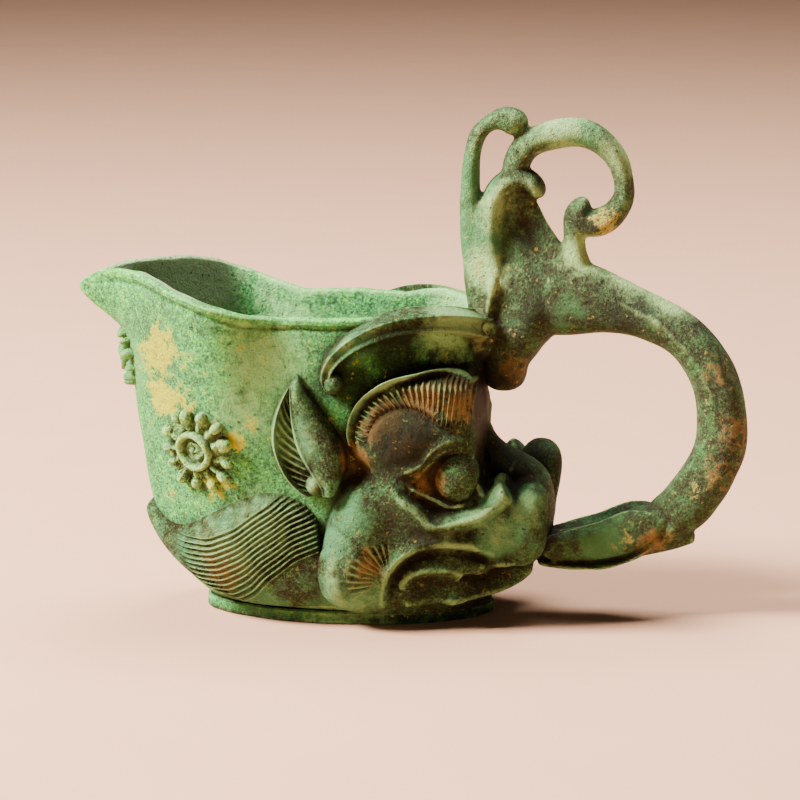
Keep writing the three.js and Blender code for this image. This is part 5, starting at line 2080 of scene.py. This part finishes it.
# Each spot: its middle on the near flank, its radius and its strength
SPOTS = {
    Tint.GILT: (
        # The wall by the spout and round the rosette
        ((-37.9, -14.0, 60.3), 9.0, 0.9), ((-39.0, -14.0, 50.0), 7.0, 0.85),
        ((-32.5, -18.0, 50.5), 4.5, 0.7), ((-21.5, -20.5, 41.7), 4.5, 0.6),
        ((-30.0, -19.5, 60.5), 5.0, 0.62), ((-20.0, -22.5, 62.0), 4.0, 0.3),
        ((-19.0, -22.5, 46.0), 3.6, 0.5), ((-40.3, -14.0, 26.5), 4.0, 0.75),
        ((-26.0, -19.0, 31.0), 5.0, 0.55),
        # The jaw
        ((30.6, -18.5, 11.2), 2.6, 0.7),
        # The handle
        ((56.4, -3.0, 87.7), 4.6, 0.7), ((77.0, -5.0, 29.8), 3.0, 0.5),
        ((61.9, -6.5, 18.5), 3.4, 0.54), ((30.9, -7.0, 77.0), 6.0, 0.35),
    ),
    Tint.RUST: (
        # The brow and the eye
        ((26.0, -18.2, 51.6), 6.6, 0.85), ((18.4, -22.0, 52.0), 5.4, 0.9),
        ((11.0, -23.6, 48.0), 4.4, 1.0), ((8.0, -25.0, 45.6), 3.4, 1.0),
        ((14.6, -24.0, 43.5), 8.5, 0.45), ((20.4, -21.7, 34.3), 4.5, 0.8),
        # The cheek
        ((6.8, -24.5, 15.0), 5.2, 0.66), ((4.4, -21.6, 38.6), 4.2, 1.0),
        # The wall and the mane
        ((-23.0, -22.0, 45.0), 7.0, 0.36), ((-26.0, -19.0, 12.0), 8.0, 0.55),
        # The handle's root and loop
        ((36.7, -6.0, 54.8), 6.0, 0.65), ((30.0, -12.0, 62.0), 6.0, 0.6),
        ((68.5, -6.0, 17.4), 5.0, 0.7), ((85.4, -3.0, 43.1), 7.0, 0.5),
        ((80.8, -4.0, 55.4), 6.0, 0.45), ((82.0, -4.0, 34.0), 6.0, 0.5),
    ),
    # Soot and painted shade: dark spots where the lamps leave shadow, and dark patina
    Tint.SOOT_AND_SHADE: (
        # Soot and painted shadow under the horn and the handle's root
        ((13.9, -20.0, 60.6), 7.5, 1.3), ((25.3, -16.0, 59.8), 7.5, 1.3),
        ((3.6, -19.6, 54.4), 5.8, 1.1), ((34.0, -8.0, 61.0), 8.0, 0.5),
        # Soot and painted shade round the eye and beside the bridge of the nose
        ((7.0, -24.4, 35.0), 5.0, 0.6), ((34.6, -9.0, 38.6), 10.0, 1.3),
        ((14.6, -25.0, 43.4), 9.5, 1.15), ((31.0, -11.0, 48.0), 7.0, 1.1),
        ((32.0, -5.0, 51.0), 9.0, 1.0),
        # Soot and painted shade in the mouth and on the jaw
        ((20.0, -23.0, 22.4), 7.0, 0.75), ((24.0, -21.0, 13.5), 6.0, 0.3),
        ((33.0, -17.0, 8.0), 7.0, 0.9), ((20.0, -21.4, 9.0), 6.5, 0.62),
        ((33.0, -14.0, 4.5), 7.0, 0.9),
        # Soot and painted shade on the crest and the loop
        ((39.0, -2.0, 86.1), 5.5, 0.7), ((51.5, -4.0, 88.0), 4.5, 0.6),
        ((41.6, -9.0, 68.4), 7.0, 0.6), ((61.0, -9.0, 69.6), 8.0, 0.75),
    ),
    # Turquoise patina, which on the nose, the cheekbone and the ear is painted light
    Tint.COOL_AND_LIT: (
        # The cheek and the jaw's corner
        ((1.4, -24.6, 27.8), 7.5, 0.6), ((-1.2, -24.5, 19.9), 6.0, 0.65),
        ((-2.0, -24.0, 9.0), 5.0, 0.5),
        # The nose and the cheekbone, with painted light, and the brow's bead
        ((36.0, -20.0, 22.0), 6.0, 1.1), ((40.3, -17.0, 30.6), 6.0, 0.7),
        ((42.0, -18.0, 22.0), 6.0, 0.5), ((27.0, -21.0, 26.5), 4.0, 0.45),
        ((34.0, -21.0, 29.5), 5.0, 0.7), ((4.8, -25.0, 50.0), 4.6, 0.8),
        # The ear, with painted light, the wall and the rim
        ((-10.6, -25.0, 43.0), 6.0, 0.9), ((4.0, -22.0, 62.0), 7.0, 0.5),
        ((-14.0, -24.0, 60.0), 9.0, 0.7), ((-50.0, -3.0, 56.0), 9.0, 1.2),
        # The mane and the foot
        ((-33.0, -14.0, 16.0), 7.0, 0.5), ((-20.0, -19.0, 22.0), 9.0, 0.6),
        ((2.0, -22.0, 2.5), 11.0, 0.8), ((-18.0, -18.0, 2.5), 9.0, 0.6),
        # The handle and the crest
        ((57.0, -7.0, 18.0), 8.0, 0.7), ((47.1, -6.0, 69.3), 7.0, 0.4),
        ((28.0, -5.0, 84.0), 9.0, 0.8), ((27.0, -3.0, 98.0), 8.0, 0.7),
        ((48.0, -3.0, 107.0), 8.0, 0.65), ((72.0, -5.0, 40.0), 7.0, 0.5),
    ),
    # Pale metal: partly wear, partly painted highlights on lit tops and crests
    Tint.PALE_AND_HIGHLIGHT: (
        # Painted highlight and pale metal on the nose, the cheekbone and the cheek
        ((41.0, -18.0, 28.0), 5.0, 0.5), ((35.0, -21.0, 30.5), 4.5, 0.4),
        ((30.0, -21.5, 27.6), 3.5, 0.5), ((35.4, -20.0, 22.4), 5.0, 0.55),
        ((25.0, -22.0, 19.6), 4.5, 0.5), ((6.8, -24.5, 14.0), 5.5, 0.5),
        # Painted light and pale metal on the ear, the wall and the rim
        ((-10.6, -25.0, 43.0), 7.0, 0.6), ((-4.4, -27.0, 33.3), 2.6, 0.9),
        ((-15.0, -24.0, 59.0), 10.0, 0.75), ((-30.0, -20.0, 40.6), 8.0, 0.45),
        ((-19.0, -23.5, 49.0), 9.0, 0.6), ((-21.0, -23.0, 66.0), 6.0, 0.5),
        # Painted light and pale metal on the mane and the foot
        ((-25.0, -22.0, 15.0), 9.0, 0.7), ((-17.0, -23.0, 23.0), 9.0, 0.55),
        ((4.0, -23.0, 2.0), 11.0, 0.5),
        # Painted highlight and pale metal on the brow's bead
        ((2.6, -26.0, 45.0), 2.8, 1.6), ((4.8, -26.0, 50.8), 2.8, 1.6),
        ((7.6, -26.0, 53.0), 3.0, 1.6), ((11.0, -25.5, 55.6), 3.2, 1.5),
        ((17.4, -24.0, 57.2), 3.6, 1.0),
        # Painted highlight and pale metal on the horn
        ((-1.2, -26.0, 58.4), 2.8, 1.0), ((2.6, -26.0, 64.0), 3.0, 1.1),
        ((8.4, -25.0, 68.4), 3.0, 0.9), ((24.0, -12.0, 67.0), 7.0, 1.2),
        # Painted highlight and pale metal on the crest
        ((29.5, -7.0, 78.0), 4.6, 1.3), ((33.4, -7.5, 75.9), 3.6, 0.7),
        ((33.0, -6.0, 91.0), 6.0, 0.7), ((46.0, -2.0, 109.0), 7.0, 0.7),
        ((61.0, 0.0, 104.0), 6.0, 0.9),
        # Painted highlight and pale metal along the back of the loop
        ((52.0, 0.0, 80.5), 5.0, 1.6), ((62.0, 0.0, 77.5), 5.4, 1.6),
        ((71.0, 0.0, 72.5), 5.8, 1.4),
    ),
}
PATCHES = tuple(Patch(tint, *spot) for tint, spots in SPOTS.items() for spot in spots)


# The studio


@dataclass(frozen=True)
class Lamp:
    """A square soft light.

    Attributes:
        name: its name.
        place: where it hangs, in metres.
        size: its side in metres.
        power: its power in watts.
    """

    name: str
    place: tuple[float, float, float]
    size: float
    power: float

    def hang(self, aim: tuple[float, float, float]) -> None:
        """Hangs the light so that it looks at a place.

        Args:
            aim: the place, in metres.
        """
        data = bpy.data.lights.new(self.name, "AREA")
        data.size = self.size
        data.energy = self.power
        lamp = bpy.data.objects.new(self.name, data)
        bpy.context.scene.collection.objects.link(lamp)
        away = unit(np.array(self.place) - np.array(aim))
        side = unit(np.cross([0.0, 0.0, 1.0], away))
        axes = np.eye(4)
        axes[:3, :4] = np.stack([side, np.cross(away, side), away, np.array(self.place)], axis=1)
        lamp.matrix_world = Matrix(axes.tolist())


@dataclass
class Studio:
    """The floor, the lights and the camera at the photograph's angle."""

    picture: int = 800
    focal: float = 3337.5
    sensor: float = 36.0
    clip: tuple[float, float] = (0.01, 50.0)
    place: tuple[float, float, float] = (99.6, -719.0, 194.7)
    right: tuple[float, float, float] = (0.9925, 0.1219, 0.0)
    up: tuple[float, float, float] = (-0.0243, 0.1979, 0.9799)
    back: tuple[float, float, float] = (0.1194, -0.9726, 0.1994)
    aim: tuple[float, float, float] = (0.015, 0.0, 0.05)
    lamps: tuple[Lamp, ...] = (
        Lamp("key", (-0.8, -0.3, 0.74), 0.32, 74.0),
        Lamp("fill", (0.5, -1.2, 0.45), 0.9, 1.3),
        Lamp("top", (0.1, 0.3, 1.0), 0.6, 21.0),
    )
    floor_side: float = 12000.0
    floor_tones: tuple[Colour, Colour] = ((0.6, 0.31, 0.18, 1.0), (0.64, 0.34, 0.2, 1.0))
    floor_rough: float = 0.8
    sky: Colour = (1.0, 0.97, 0.93, 1.0)
    sky_strength: float = 0.04

    def camera(self) -> None:
        """Sets the camera: its lens is the focal length in pixels times the sensor over the picture."""
        data = bpy.data.cameras.new("camera")
        data.sensor_width = self.sensor
        data.lens = self.focal * self.sensor / self.picture
        data.clip_start, data.clip_end = self.clip
        camera = bpy.data.objects.new("camera", data)
        bpy.context.scene.collection.objects.link(camera)
        axes = np.eye(4)
        axes[:3, :4] = np.stack([self.right, self.up, self.back, np.array(self.place) * MM], axis=1)
        camera.matrix_world = Matrix(axes.tolist())
        bpy.context.scene.camera = camera

    def floor(self) -> None:
        """A large pale floor with a faint mottling."""
        v, u = grid(2, 2)
        corners = np.stack([u - 0.5, v - 0.5, np.zeros_like(u)], axis=-1).reshape(-1, 3) * self.floor_side
        mesh = bpy.data.meshes.new("floor")
        mesh.from_pydata((corners * MM).tolist(), [], [[0, 1, 3, 2]])
        floor = bpy.data.objects.new("floor", mesh)
        bpy.context.scene.collection.objects.link(floor)
        material = bpy.data.materials.new("floor")
        material.use_nodes = True
        wire = Wiring(material.node_tree)
        shader = material.node_tree.nodes["Principled BSDF"]
        place = wire.add("ShaderNodeTexCoord").outputs["Object"]
        cloud = wire.noise(place, scale=40.0, detail=4.0, rough=0.5)
        wire.feed(shader.inputs["Base Color"], wire.mix(cloud, *self.floor_tones))
        shader.inputs["Roughness"].default_value = self.floor_rough
        mesh.materials.append(material)

    def build(self) -> None:
        """Sets up the camera, the floor, the lights and the pale surroundings."""
        self.camera()
        self.floor()
        for lamp in self.lamps:
            lamp.hang(self.aim)
        world = bpy.data.worlds.new("surroundings")
        bpy.context.scene.world = world
        world.use_nodes = True
        backdrop = world.node_tree.nodes["Background"]
        backdrop.inputs["Color"].default_value = self.sky
        backdrop.inputs["Strength"].default_value = self.sky_strength


def main() -> None:
    """Builds the cup piece by piece, weathers it and paints light and shade into its tints, finishes it and
    sets up the studio.
    """
    logging.basicConfig(level=logging.INFO, format="%(message)s")
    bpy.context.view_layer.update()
    Studio().build()
    bowl = Bowl()
    face = BeastFace(bowl)
    assemblies = (bowl, face, BeastHead(bowl, face), Rosettes(bowl), Handle(bowl))
    castings = [casting for assembly in assemblies for casting in assembly.build()]
    WeatheringAndPaintedLight(patches=PATCHES).apply(castings)
    group = Verdigris().group()
    materials = {finish.slot: finish.material(group) for finish in FINISHES}
    for casting in castings:
        casting.body.data.materials.clear()
        casting.body.data.materials.append(materials[casting.slot])
        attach(casting.body, "root")
        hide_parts(*casting.nodes)
        triangles = sum(len(polygon.vertices) - 2 for polygon in casting.body.data.polygons)
        LOG.info("%s stands for %s: %d triangles", casting.name, ", ".join(casting.nodes), triangles)


if __name__ == "__main__":
    main()
